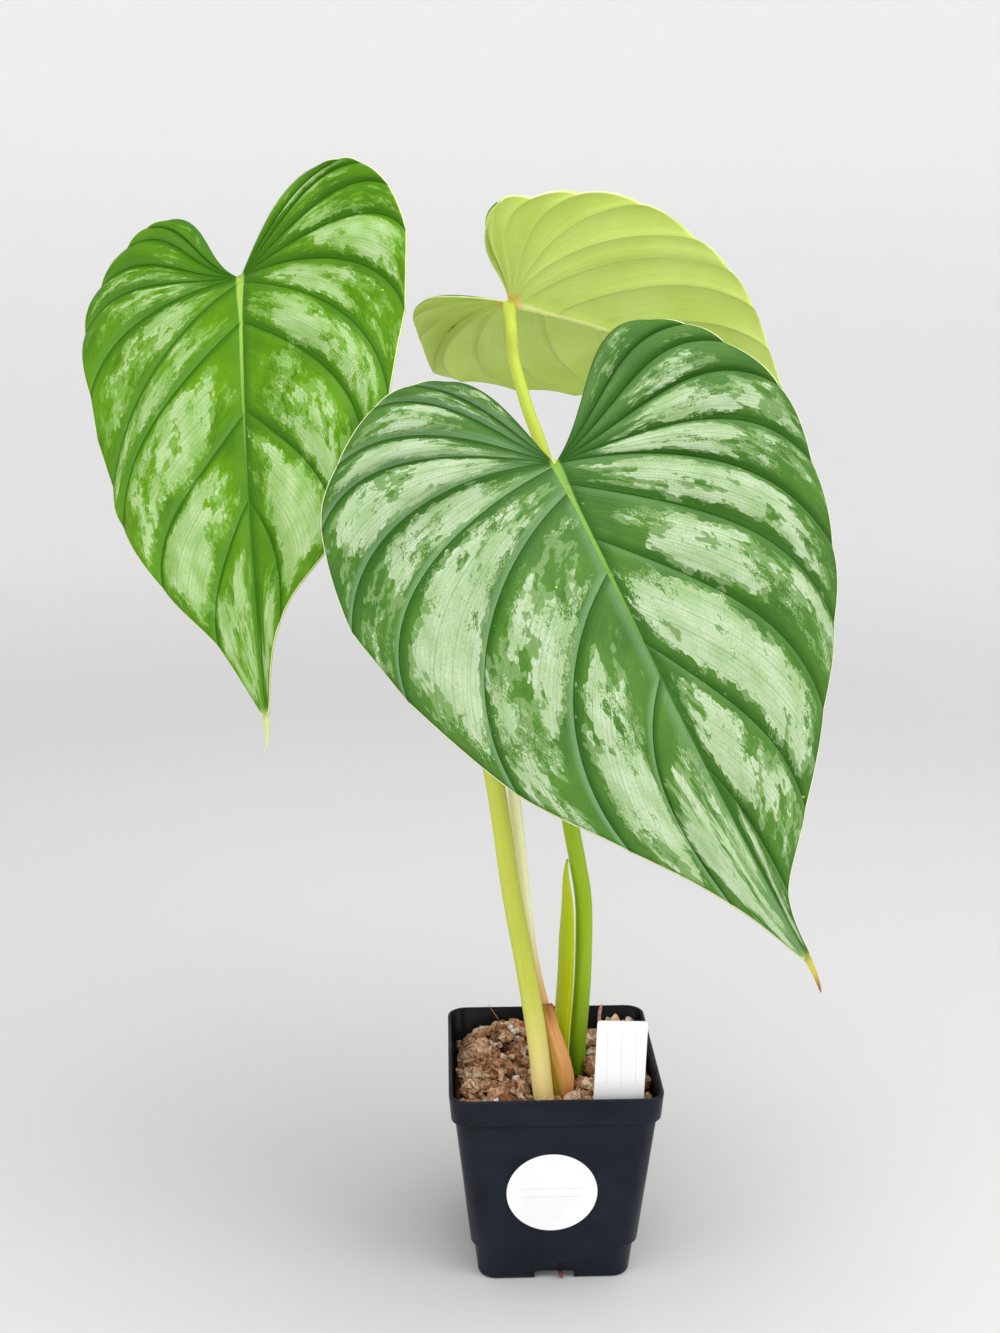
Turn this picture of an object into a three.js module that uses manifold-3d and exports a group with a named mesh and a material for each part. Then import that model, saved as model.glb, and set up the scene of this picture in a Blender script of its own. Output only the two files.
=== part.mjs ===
// A philodendron pastazanum with three heart-shaped leaves, in a square nursery pot of bark.
// Millimetres, +Z up. The origin is under the middle of the pot, and the pot's front faces -Y.
import * as THREE from "three";
import { mergeVertices } from "three/addons/utils/BufferGeometryUtils.js";
import Module from "manifold-3d";

const wasm = await Module();
wasm.setup();

const DEG = Math.PI / 180;
const { lerp, smoothstep } = THREE.MathUtils;

// Driving dimensions
const CLEARANCE = 0.3;

const POT = {
  rim: 89,
  height: 90,
  bandHeight: 12,
  bandOverhang: 1.6,
  bodyTop: 84,
  bodyFoot: 71,
  foot: 65,
  footHeight: 16,
  cornerRadius: 8,
  wall: 1.2,
  floor: 1.6,
  notch: { width: 17, height: 4, depth: 14, drainLength: 10, drainWidth: 5 },
};

const SOIL = {
  edgeTop: 78,
  moundTop: 83,
  chips: 46,
  chipSize: [[7, 13], [5, 8], [3, 5]],
  chipTilt: 0.6,
  chipLift: [-0.8, 1.2],
  seed: 12,
};

const LABEL = {
  width: 20.8,
  length: 70,
  pointLength: 12,
  thickness: 0.8,
  cornerRadius: 1.5,
  top: 121.5,
  at: [26.8, -37],
  lean: 1.9,
};
const STICKER = { diameter: 38, thickness: 0.4, at: [-1.7, 44.8] };

const BLADE = {
  thickness: 0.8,
  rib: { halfWidth: 2.4, depth: 2.6, tipDepth: 0.5 },
  pleat: { height: 3.4, sharpness: 0.8, sunk: 0.45, fullAt: 0.45, marginLoss: 0.5, tipFade: 60 },
  tail: { halfWidth: 1.4, endHalfWidth: 0.5, rows: 3 },
  columns: 7,
  rowsPerBasalVein: 3,
  rowSpacing: 12,
};

// Side veins leave the midrib at these angles to the leaf tip, from the last basal vein to the tip.
const BASAL_VEINS = 5;
const VEIN_ANGLES = [90, 68, 56, 43, 32, 25];
const VEIN_TO_MARGIN = 24;
const VEIN_REACH = 0.38;

// Each blade is placed by its petiole point, its heading from +X, its droop and its roll in degrees.
// Bends, folds and arches are in degrees for each 100 mm. A vein is its root along the midrib, then
// its end on the margin, along and out from the midrib: first the sinus edge, last the tip.
const LEAVES = {
  left: {
    petiolePoint: [-129.5, 67, 415],
    turn: { heading: -86, droop: 56, roll: 31 },
    bend: { lobes: 7, base: 4.5, tip: 5.5 },
    foldTip: -4,
    tip: 191,
    tail: { end: 205, drop: 2, aside: -3 },
    sides: {
      left: {
        fold: 6.5, arch: 15, sinus: 121, skew: 0,
        veins: [[0, -40.5, 37.5], [0, -40.5, 48.5], [0, -34, 59], [0, -19, 73.5], [0, 2, 82],
          [0, 33, 79], [2, 79, 67.5], [21, 98.5, 62.5], [64, 130, 43.5], [102, 160, 18.5]],
      },
      right: {
        fold: 8.5, arch: 17, sinus: 149, skew: 0,
        veins: [[0, -39, 41], [0, -38.5, 52], [0, -33, 62], [0, -18, 74], [0, 6, 81],
          [0, 41, 78], [2, 76, 68], [21, 100, 55], [61, 130, 37.5], [101, 156, 11]],
      },
    },
    petiole: {
      path: [[-3.6, -24, 72.4], [-4.7, -24, 82], [-7.1, -21, 105], [-12.1, -18, 137],
        [-17.6, -14, 167], [-25.5, -7, 220], [-41, 11, 279], [-64, 34, 327], [-91, 59, 367],
        [-110, 75, 392]],
      approach: 17,
      radii: [4.4, 4, 3.8, 3.2, 2.7],
    },
  },
  front: {
    petiolePoint: [-0.7, -5, 345.3],
    turn: { heading: -47, droop: 53.5, roll: 27 },
    bend: { lobes: 5, base: 2, tip: -8 },
    foldTip: -14,
    tip: 213,
    tail: { end: 226, drop: 2, aside: -1 },
    sides: {
      left: {
        fold: 10, arch: 19, sinus: 158, skew: 12,
        veins: [[0, -46, 27], [0, -49, 41], [0, -45, 59], [0, -28, 82], [0, -6, 98],
          [0, 34.5, 102.6], [1, 66.5, 93.5], [13, 115, 70], [49, 151, 41], [95, 184, 16]],
      },
      right: {
        fold: 10, arch: 13.5, sinus: 122, skew: -12,
        veins: [[0, -42, 63], [0, -35, 77], [0, -22, 89], [0, 3, 102], [0, 37, 101],
          [0, 72, 93], [9, 101, 78], [33, 131, 56], [79, 163, 29], [132, 189, 6]],
      },
    },
    petiole: {
      path: [[4.6, -17.5, 72.5], [3.2, -15.5, 86], [-1.1, -12, 104], [-7.9, -8, 132],
        [-11.5, -5.5, 158], [-13.8, -4, 184], [-16.8, -2, 213], [-19, 3, 252], [-17, 9, 290],
        [-11, 14, 317]],
      approach: 18,
      radii: [2.6, 2.6, 2.5, 2.5, 2.4],
    },
  },
  back: {
    petiolePoint: [-16, 73, 405],
    turn: { heading: 22, droop: 11, roll: -34 },
    bend: { lobes: 7, base: 14, tip: 24 },
    foldTip: 1,
    tip: 148,
    tail: { end: 157, drop: 3, aside: 4 },
    sides: {
      left: {
        fold: 12.5, arch: 14, sinus: 121, skew: -4,
        veins: [[0, -28.5, 45], [0, -28, 55], [0, -17, 59.5], [0, 0, 67.5], [0, 26, 70.5],
          [0, 56, 62], [4, 78, 53], [22, 97.5, 40.5], [48, 116.5, 24.5], [78, 133, 11]],
      },
      right: {
        fold: 9, arch: 15, sinus: 176, skew: 8,
        veins: [[0, -34, 15], [0, -32.5, 28], [0, -22, 45], [0, -4.5, 69.5], [0, 11, 72.5],
          [0, 38, 69.5], [4, 64, 60], [18, 86, 47], [44, 108, 32], [74, 129, 16]],
      },
    },
    petiole: {
      path: [[11.2, -1, 72.5], [11.6, -1, 95], [12.8, 0, 113], [13.7, 2, 130], [13.6, 5, 158],
        [11, 8, 175], [8, 12, 192], [3, 26, 240], [1, 40, 290], [0, 53, 335],
        [-9, 63, 363], [-14, 69, 382]],
      approach: 10,
      radii: [3.6, 3.6, 3.4, 2.9, 2.4],
    },
  },
};

const RHIZOME = {
  path: [[-9, -30, 63], [-3, -22, 63.6], [5, -14, 63.8], [11, -3, 63.6], [16, 6, 62]],
  radii: [5.8, 8.2, 8.2, 8.2, 5.8],
  roots: [
    [[-2, -20, 62], [-8, -24, 40], [-3, -25, 16], [1, -25, 7], [1.6, -26, 3.2], [2.4, -29.5, 2],
      [3, -34, 1.9]],
    [[8, -8, 62], [22, 4, 44], [24, 14, 22]],
    [[2, -16, 62], [-18, -4, 46], [-22, 14, 24]],
  ],
  rootRadii: [1.8, 1.3, 0.9],
};

// A sheath stands round the foot of a petiole: aside is how far its centre line lies towards -X at its
// foot and at its tip, changing late, and facing is the middle of its wrap, in degrees from +X. It narrows
// towards the middle, or with a lean of 1 or -1 towards its first or last edge, later with a higher taper.
const SHEATHS = {
  brown: {
    around: "front",
    aside: [0, 0],
    length: 47,
    radii: [3.6, 5, 5.3, 3.8, 3.9],
    facing: -62,
    halfWrap: 115,
    lean: 0,
    taper: 16,
    thickness: 0.7,
  },
  green: {
    around: "back",
    aside: [3.7, 0],
    length: 103,
    radii: [6.4, 7, 6.8, 4.2],
    facing: -140.5,
    halfWrap: 44.5,
    lean: -1,
    taper: 10,
    thickness: 0.9,
  },
};
const SHEATH_CHANGE = 13; // the power of the share of its length by which a sheath moves aside

// Closed geometry and manifold solids
const vec = (point) => new THREE.Vector3(...point);

function closed(positions, index) {
  const raw = new THREE.BufferGeometry();
  raw.setAttribute("position", new THREE.Float32BufferAttribute(positions.flatMap((p) => p.toArray()), 3));
  raw.setIndex(index);
  const merged = mergeVertices(raw, 1e-3);
  const kept = [];
  for (let i = 0; i < merged.index.count; i += 3) {
    const [a, b, c] = [0, 1, 2].map((n) => merged.index.getX(i + n));
    if (a !== b && b !== c && c !== a) kept.push(a, b, c);
  }
  merged.setIndex(kept);
  return merged;
}

function solidOf(geometry) {
  const bare = geometry.clone();
  bare.deleteAttribute("normal");
  bare.deleteAttribute("uv");
  const merged = mergeVertices(bare, 1e-3);
  return new wasm.Manifold(new wasm.Mesh({
    numProp: 3,
    vertProperties: merged.attributes.position.array,
    triVerts: new Uint32Array(merged.index.array),
  }));
}

// The largest body of a solid, as a geometry: scraps that a cut leaves loose are dropped.
function geometryOf(solid) {
  const body = solid.decompose().sort((a, b) => b.volume() - a.volume())[0];
  const mesh = body.getMesh();
  const geometry = new THREE.BufferGeometry();
  geometry.setAttribute("position", new THREE.Float32BufferAttribute(mesh.vertProperties, 3));
  geometry.setIndex([...mesh.triVerts]);
  return geometry;
}

// A skin over rings of points, with a flat fan over the first ring and the last.
function loft(rings) {
  const count = rings[0].length;
  const positions = rings.flat();
  const index = [];
  for (let r = 0; r + 1 < rings.length; r++) {
    for (let i = 0; i < count; i++) {
      const a = r * count + i;
      const b = r * count + ((i + 1) % count);
      index.push(a, b, b + count, a, b + count, a + count);
    }
  }
  for (const [ring, start, inward] of [
    [rings[0], 0, true],
    [rings.at(-1), (rings.length - 1) * count, false],
  ]) {
    const middle = ring.reduce((sum, p) => sum.add(p), new THREE.Vector3()).divideScalar(count);
    positions.push(middle);
    for (let i = 0; i < count; i++) {
      const a = start + i;
      const b = start + ((i + 1) % count);
      index.push(positions.length - 1, ...(inward ? [b, a] : [a, b]));
    }
  }
  return closed(positions, index);
}

// A thin sheet of rows and columns: place(row, column, face) gives the upper face (1) and the lower (-1).
function sheet(rows, columns, place) {
  const positions = [];
  const index = [];
  const wide = columns + 1;
  const under = (rows + 1) * wide;
  for (const face of [1, -1]) {
    for (let r = 0; r <= rows; r++) {
      for (let c = 0; c <= columns; c++) positions.push(place(r, c, face));
    }
  }
  for (let r = 0; r < rows; r++) {
    for (let c = 0; c < columns; c++) {
      const a = r * wide + c;
      const b = a + 1;
      const d = a + wide;
      const e = d + 1;
      index.push(a, d, e, a, e, b);
      index.push(under + a, under + e, under + d, under + a, under + b, under + e);
    }
  }
  const rim = [];
  for (let c = 0; c < columns; c++) rim.push([c, c + 1]);
  for (let r = 0; r < rows; r++) rim.push([r * wide + columns, (r + 1) * wide + columns]);
  for (let c = columns; c > 0; c--) rim.push([rows * wide + c, rows * wide + c - 1]);
  for (let r = rows; r > 0; r--) rim.push([r * wide, (r - 1) * wide]);
  for (const [a, b] of rim) index.push(a, b, under + b, a, under + b, under + a);
  return closed(positions, index);
}

// The value at a place in a list, between two of its items where the place isn't whole.
function between(list, at) {
  const low = Math.min(Math.floor(at), list.length - 2);
  return lerp(list[low], list[low + 1], at - low);
}

const spread = (list, share) => between(list, share * (list.length - 1));

// Rings round a path: the path's points are joined by a smooth curve, and the radii spread along it.
function ringsAlong(path, radii, sides, steps) {
  const curve = new THREE.CatmullRomCurve3(path.map(vec));
  const across = new THREE.Vector3(1, 0, 0);
  return Array.from({ length: steps + 1 }, (_, step) => {
    const t = step / steps;
    const centre = curve.getPointAt(t);
    const tangent = curve.getTangentAt(t);
    const u = across.clone().addScaledVector(tangent, -across.dot(tangent)).normalize();
    const v = new THREE.Vector3().crossVectors(tangent, u);
    const radius = spread(radii, t);
    return Array.from({ length: sides }, (_, i) => {
      const angle = (i / sides) * 2 * Math.PI;
      return centre.clone()
        .addScaledVector(u, radius * Math.cos(angle))
        .addScaledVector(v, radius * Math.sin(angle));
    });
  });
}

// A path with both its ends moved out.
function lengthened(path, extra) {
  const [first, second] = path.slice(0, 2).map(vec);
  const [last, beforeLast] = path.slice(-2).reverse().map(vec);
  const start = first.clone().addScaledVector(first.clone().sub(second).normalize(), extra);
  const end = last.clone().addScaledVector(last.clone().sub(beforeLast).normalize(), extra);
  return [start.toArray(), ...path.slice(1, -1), end.toArray()];
}

// Pot: rings of a rounded square, up the outside, over the rim and down the inside
const QUARTER_TURNS = [0, 90, 180, 270];
const bandFoot = POT.height - POT.bandHeight;

function squareRing(half, z, radius = POT.cornerRadius) {
  const shape = new THREE.Shape();
  const flat = half - radius;
  shape.absarc(flat, flat, radius, 0, 90 * DEG);
  shape.absarc(-flat, flat, radius, 90 * DEG, 180 * DEG);
  shape.absarc(-flat, -flat, radius, 180 * DEG, 270 * DEG);
  shape.absarc(flat, -flat, radius, 270 * DEG, 360 * DEG);
  return shape.getPoints(2).map((p) => new THREE.Vector3(p.x, p.y, z));
}

function potInside(inset, top) {
  const half = (size) => size / 2 - POT.wall - inset;
  return [
    [half(POT.rim) - 0.2, top],
    [half(POT.rim) - 1, bandFoot + 1 + inset],
    [half(POT.bodyTop), bandFoot - 1 + inset],
    [half(POT.bodyFoot), POT.footHeight + 1.6 + inset],
    [half(POT.bodyFoot) - 1.4, POT.footHeight + 0.6 + inset],
    [half(POT.foot) + 0.2, POT.floor + 1.2 + inset],
    [half(POT.foot) - 1, POT.floor + inset],
  ].map(([size, z]) => squareRing(size, z, POT.cornerRadius - POT.wall));
}

function boxAt(size, centre) {
  return new THREE.BoxGeometry(...size).translate(...centre);
}

// A recess at the foot of each side wall, with a raised ceiling and a drain slot through it.
function notchBlock(grow) {
  const { width, height, depth } = POT.notch;
  const skin = POT.wall + grow;
  const outer = POT.foot / 2 - 0.4;
  const inner = POT.foot / 2 - depth - skin;
  const bottom = POT.floor / 2;
  const top = height + skin;
  return boxAt(
    [width + 2 * skin, outer - inner, top - bottom],
    [0, -(outer + inner) / 2, (top + bottom) / 2],
  );
}

function notchHollow() {
  const { width, height, depth, drainLength, drainWidth } = POT.notch;
  const inner = POT.foot / 2 - depth;
  const past = 4;
  const recess = boxAt(
    [width, depth + past, height + past],
    [0, -inner - (depth + past) / 2, (height - past) / 2],
  );
  const slot = boxAt([drainLength, drainWidth, past], [0, -inner - depth / 2, height + past / 4]);
  return solidOf(recess).add(solidOf(slot));
}

function potGeometry() {
  const half = (size) => size / 2;
  const outside = [
    squareRing(half(POT.foot) - 1.6, 0, POT.cornerRadius - 1.6),
    squareRing(half(POT.foot) - 0.3, 0.6, POT.cornerRadius - 0.3),
    squareRing(half(POT.foot) + 0.1, 2.2),
    squareRing(half(POT.bodyFoot) - 1.4, POT.footHeight),
    squareRing(half(POT.bodyFoot), POT.footHeight + 0.9),
    squareRing(half(POT.bodyTop), bandFoot - 0.6),
    squareRing(half(POT.bodyTop) + POT.bandOverhang, bandFoot + 0.4),
    squareRing(half(POT.rim), POT.height - 0.6),
    squareRing(half(POT.rim) - 0.4, POT.height),
  ];
  let pot = solidOf(loft([...outside, ...potInside(0, POT.height)]));
  for (const turn of QUARTER_TURNS) pot = pot.add(solidOf(notchBlock(0).rotateZ(turn * DEG)));
  const hollow = notchHollow();
  for (const turn of QUARTER_TURNS) pot = pot.subtract(hollow.rotate([0, 0, turn]));
  return geometryOf(pot);
}

// Blade: a surface that keeps its lengths while the midrib bends and both halves fold up and arch down
function bladeSurface(leaf) {
  const perMm = DEG / 100;
  const { lobes, base, tip } = leaf.bend;
  const slope = (x) => {
    if (x < 0) return lobes * perMm * x;
    const bent = Math.min(x, leaf.tip);
    const early = base * bent + ((tip - base) * bent * bent) / (2 * leaf.tip);
    return (early + tip * (x - bent)) * perMm;
  };
  const midrib = (x) => {
    const steps = Math.max(1, Math.ceil(Math.abs(x) / 4));
    const ds = x / steps;
    const end = new THREE.Vector2();
    for (let i = 0; i < steps; i++) {
      const angle = slope((i + 0.5) * ds);
      end.x += ds * Math.cos(angle);
      end.y -= ds * Math.sin(angle);
    }
    return end;
  };
  // The place of a point: along the midrib, out to one side and off the surface.
  return (side, along, out, off) => {
    const { fold, arch } = leaf.sides[side];
    const start = (fold + leaf.foldTip * THREE.MathUtils.clamp(along / leaf.tip, 0, 1)) * DEG;
    const bend = arch * perMm;
    const angle = start - bend * out;
    const reach = (Math.sin(start) - Math.sin(angle)) / bend - off * Math.sin(angle);
    const rise = (Math.cos(angle) - Math.cos(start)) / bend + off * Math.cos(angle);
    const turned = slope(along);
    const foot = midrib(along);
    return new THREE.Vector3(
      foot.x + rise * Math.sin(turned),
      side === "right" ? reach : -reach,
      foot.y + rise * Math.cos(turned),
    );
  };
}

// One half of a blade: for a vein number, whole or between two veins, the curve from midrib to margin.
function veinCurves(leaf, side) {
  const { veins, sinus, skew } = leaf.sides[side];
  const roots = [...veins.map(([root]) => root), leaf.tip];
  const ends = [...veins.map(([, along, out]) => [along, out]), [leaf.tip, BLADE.tail.halfWidth]];
  const margin = new THREE.SplineCurve(ends.map((end) => new THREE.Vector2(...end)));
  const last = veins.length;
  const leaving = (vein) => {
    if (vein < BASAL_VEINS) return lerp(sinus, VEIN_ANGLES[0] + skew, vein / BASAL_VEINS);
    return between(VEIN_ANGLES, vein - BASAL_VEINS) + skew;
  };
  const curve = (vein) => {
    const root = new THREE.Vector2(between(roots, vein), 0);
    const end = margin.getPoint(vein / last);
    const tangent = margin.getTangent(vein / last);
    const arriving = tangent.angle() + VEIN_TO_MARGIN * DEG * Math.min(1, vein, last - vein);
    const reach = VEIN_REACH * root.distanceTo(end);
    const aim = (angle) => new THREE.Vector2(Math.cos(angle), Math.sin(angle)).multiplyScalar(reach);
    return new THREE.CubicBezierCurve(
      root,
      root.clone().add(aim(leaving(vein) * DEG)),
      end.clone().sub(aim(arriving)),
      end,
    );
  };
  const veinAt = (along) => {
    const low = roots.findLastIndex((root) => root <= along && root < leaf.tip);
    return low + (along - roots[low]) / (roots[low + 1] - roots[low]);
  };
  return { curve, veinAt, roots, last };
}

// Rows of a blade's grid, as a vein number for each half: a fan of basal rows, then rows up the midrib.
function bladeRows(halves) {
  const rows = [];
  for (let i = 0; i <= BASAL_VEINS * BLADE.rowsPerBasalVein; i++) {
    const vein = i / BLADE.rowsPerBasalVein;
    rows.push({ left: vein, right: vein });
  }
  const stations = [...new Set([...halves.left.roots, ...halves.right.roots])].sort((a, b) => a - b);
  for (let i = 1; i < stations.length; i++) {
    const gap = stations[i] - stations[i - 1];
    const parts = Math.ceil(gap / BLADE.rowSpacing);
    for (let part = 1; part <= parts; part++) {
      const along = stations[i - 1] + (gap * part) / parts;
      rows.push({ left: halves.left.veinAt(along), right: halves.right.veinAt(along) });
    }
  }
  return rows;
}

function bladeGeometry(leaf) {
  const { columns, pleat, rib, tail } = BLADE;
  const surface = bladeSurface(leaf);
  const halves = { left: veinCurves(leaf, "left"), right: veinCurves(leaf, "right") };
  const rows = bladeRows(halves);
  // How far a face lies from the middle of the blade: the midrib stands out underneath.
  const offset = (face, step, along) => {
    const skin = (face * BLADE.thickness) / 2;
    if (face > 0 || step > 0) return skin;
    return skin - lerp(rib.depth, rib.tipDepth, Math.max(0, along) / leaf.tail.end);
  };

  const placeTail = (row, side, step, face) => {
    const t = row / tail.rows;
    const along = lerp(leaf.tip, leaf.tail.end, t);
    const half = lerp(tail.halfWidth, tail.endHalfWidth, t);
    const point = surface(side, along, (half * step) / columns, offset(face, step, along));
    point.y += leaf.tail.aside * t * t;
    point.z -= leaf.tail.drop * t * t;
    return point;
  };

  const place = (row, c, face) => {
    const side = c < columns ? "left" : "right";
    const step = Math.abs(c - columns);
    if (row >= rows.length) return placeTail(row - rows.length + 1, side, step, face);
    const vein = rows[row][side];
    const curve = halves[side].curve(vein);
    const length = curve.v0.distanceTo(curve.v3);
    const ribEdge = Math.min(0.25, rib.halfWidth / (3 * VEIN_REACH * length));
    const out = step === 0 ? 0 : lerp(ribEdge, 1, (step - 1) / (columns - 1));
    const flat = curve.getPoint(out);
    const ridge = Math.abs(Math.sin(vein * Math.PI)) ** pleat.sharpness - pleat.sunk;
    const swell = smoothstep(out, 0, pleat.fullAt) * (1 - pleat.marginLoss * out ** 3);
    const fade = smoothstep(leaf.tip - flat.x, 0, pleat.tipFade);
    return surface(side, flat.x, flat.y, pleat.height * ridge * swell * fade + offset(face, step, flat.x));
  };
  return sheet(rows.length - 1 + tail.rows, 2 * columns, place);
}

function bladeTurn(leaf) {
  const { heading, droop, roll } = leaf.turn;
  return new THREE.Euler(roll * DEG, droop * DEG, heading * DEG, "ZYX");
}

// A petiole runs up its path, then turns to meet the underside of the blade square on.
function petiolePath(leaf) {
  const up = new THREE.Vector3(0, 0, 1).applyEuler(bladeTurn(leaf));
  const under = BLADE.thickness / 2 + BLADE.rib.depth + CLEARANCE;
  const below = (distance) => vec(leaf.petiolePoint).addScaledVector(up, -distance).toArray();
  return [...leaf.petiole.path, below(under + leaf.petiole.approach), below(under)];
}

function petioleGeometry(leaf, grow = 0) {
  const radii = leaf.petiole.radii.map((radius) => radius + grow);
  return loft(ringsAlong(petiolePath(leaf), radii, 9, 24));
}

// Sheath: a thin sheet rolled part of the way round its path, narrowing to a point at the top
function sheathGeometry(sheath, grow = 0) {
  const rows = 12;
  const columns = 8;
  const petiole = new THREE.CatmullRomCurve3(petiolePath(LEAVES[sheath.around]).map(vec));
  const share = sheath.length / petiole.getLength();
  const half = sheath.thickness / 2 + grow;
  return sheet(rows, columns, (r, c, face) => {
    const t = r / rows;
    const aside = lerp(...sheath.aside, t ** SHEATH_CHANGE);
    const centre = petiole.getPointAt(t * share).add(vec([-aside, 0, CLEARANCE]));
    const radius = spread(sheath.radii, t);
    const narrowing = Math.sqrt(Math.max(0.01, 1 - t ** sheath.taper));
    const wrap = sheath.halfWrap * narrowing + grow / radius / DEG;
    const middle = sheath.facing + sheath.lean * sheath.halfWrap * (1 - narrowing);
    const angle = (middle + wrap * (1 - (2 * c) / columns)) * DEG;
    const out = radius + face * half;
    return new THREE.Vector3(
      centre.x + out * Math.cos(angle),
      centre.y + out * Math.sin(angle),
      centre.z - (r === 0 ? grow : 0),
    );
  });
}

// Rhizome: a thick creeping stem under the bark, with roots, one of them out through the front drain
function rhizomeSolid(grow = 0) {
  const grown = (radii) => radii.map((radius) => radius + grow);
  const stem = ringsAlong(lengthened(RHIZOME.path, grow), grown(RHIZOME.radii), 12, 8);
  let solid = solidOf(loft(stem));
  for (const root of RHIZOME.roots) {
    solid = solid.add(solidOf(loft(ringsAlong(root, grown(RHIZOME.rootRadii), 6, 10))));
  }
  return solid;
}

function labelGeometry(grow = 0) {
  const { width, length, pointLength, thickness, cornerRadius } = LABEL;
  const half = width / 2 + grow;
  const flat = half - cornerRadius;
  const shape = new THREE.Shape();
  shape.moveTo(0, -length - grow);
  shape.lineTo(half, pointLength - length);
  shape.absarc(flat, -cornerRadius, cornerRadius, 0, 90 * DEG);
  shape.absarc(-flat, -cornerRadius, cornerRadius, 90 * DEG, 180 * DEG);
  shape.lineTo(-half, pointLength - length);
  const options = { depth: thickness + 2 * grow, bevelEnabled: false, curveSegments: 3 };
  return new THREE.ExtrudeGeometry(shape, options)
    .translate(0, 0, -thickness / 2 - grow)
    .rotateX(90 * DEG)
    .rotateY(LABEL.lean * DEG)
    .translate(...LABEL.at, LABEL.top);
}

// Soil: a mound of bark with chips set in a sunflower spiral, and plain holes where the plant stands
function soilGeometry() {
  let state = SOIL.seed;
  const random = (low, high) => {
    state = (state * 16807) % 2147483647;
    return lerp(low, high, state / 2147483647);
  };
  const inside = potInside(CLEARANCE, SOIL.edgeTop).reverse();
  const mound = [[33, 0.45], [20, 0.85], [9, 1]].map(([half, share]) =>
    squareRing(half, lerp(SOIL.edgeTop, SOIL.moundTop, share), 8));
  let soil = solidOf(loft([...inside, ...mound]));

  const reach = POT.rim / 2 - 6;
  const turn = 137.508 * DEG;
  for (let i = 0; i < SOIL.chips; i++) {
    const out = Math.sqrt((i + 0.5) / SOIL.chips);
    const [cos, sin] = [Math.cos(i * turn), Math.sin(i * turn)];
    const square = lerp(1, 1 / Math.max(Math.abs(cos), Math.abs(sin)), 0.75);
    const lift = lerp(SOIL.moundTop, SOIL.edgeTop, out ** 2) + random(...SOIL.chipLift);
    const chip = new THREE.BoxGeometry(...SOIL.chipSize.map((range) => random(...range)))
      .rotateX(random(-SOIL.chipTilt, SOIL.chipTilt))
      .rotateY(random(-SOIL.chipTilt, SOIL.chipTilt))
      .rotateZ(random(0, Math.PI))
      .translate(out * reach * square * cos, out * reach * square * sin, lift);
    soil = soil.add(solidOf(chip));
  }
  soil = soil.intersect(solidOf(loft(potInside(CLEARANCE, POT.height + 8).reverse())));

  const holes = [
    rhizomeSolid(CLEARANCE),
    ...Object.values(LEAVES).map((leaf) => solidOf(petioleGeometry(leaf, CLEARANCE))),
    ...Object.values(SHEATHS).map((sheath) => solidOf(sheathGeometry(sheath, CLEARANCE))),
    solidOf(labelGeometry(CLEARANCE)),
    ...QUARTER_TURNS.map((turn) => solidOf(notchBlock(CLEARANCE).rotateZ(turn * DEG))),
  ];
  for (const hole of holes) soil = soil.subtract(hole);
  return geometryOf(soil);
}

function stickerMesh(material) {
  const { diameter, thickness, at } = STICKER;
  const geometry = new THREE.CylinderGeometry(diameter / 2, diameter / 2, thickness, 40);
  const mesh = new THREE.Mesh(geometry, material);
  const low = POT.footHeight + 0.9;
  const high = bandFoot - 0.6;
  const taper = (POT.bodyTop - POT.bodyFoot) / 2;
  const wall = POT.bodyFoot / 2 + (taper * (at[1] - low)) / (high - low);
  const slope = Math.atan2(taper, high - low);
  const off = CLEARANCE + thickness / 2;
  mesh.position.set(at[0], -wall - off * Math.cos(slope), at[1] - off * Math.sin(slope));
  mesh.rotation.x = slope;
  return mesh;
}

// Materials and the assembled plant
const finish = (color, roughness) => new THREE.MeshStandardMaterial({ color, roughness, metalness: 0 });

const plant = new THREE.Group();

function add(name, geometry, material) {
  const mesh = new THREE.Mesh(geometry, material);
  mesh.name = name;
  plant.add(mesh);
  return mesh;
}

add("pot", potGeometry(), finish("#2b303b", 0.45));
add("substrate", soilGeometry(), finish("#8a6148", 0.9));
add("rhizome", geometryOf(rhizomeSolid()), finish("#a8804f", 0.8));
add("brown_sheath", sheathGeometry(SHEATHS.brown), finish("#a86a32", 0.6));
add("green_sheath", sheathGeometry(SHEATHS.green), finish("#9fb81c", 0.4));
add("plant_label", labelGeometry(), finish("#f6f6f4", 0.4));

const sticker = stickerMesh(finish("#f4f5f5", 0.5));
sticker.name = "sticker";
plant.add(sticker);

const BLADE_COLORS = { left: "#5f9a33", front: "#3f7a45", back: "#b4cb6b" };
const PETIOLE_COLORS = { left: "#b3b955", front: "#e3e0a8", back: "#6fa023" };

for (const [name, leaf] of Object.entries(LEAVES)) {
  const blade = add(`blade_${name}`, bladeGeometry(leaf), finish(BLADE_COLORS[name], 0.45));
  blade.position.set(...leaf.petiolePoint);
  blade.rotation.copy(bladeTurn(leaf));
  add(`petiole_${name}`, petioleGeometry(leaf), finish(PETIOLE_COLORS[name], 0.4));
}

export default plant;
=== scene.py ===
"""A potted philodendron pastazanum: marbled heart leaves, pale stems, bark chips and a nursery pot."""
import math

import bmesh
import bpy
import numpy as np
from mathutils import Euler, Matrix, Vector, noise


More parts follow.
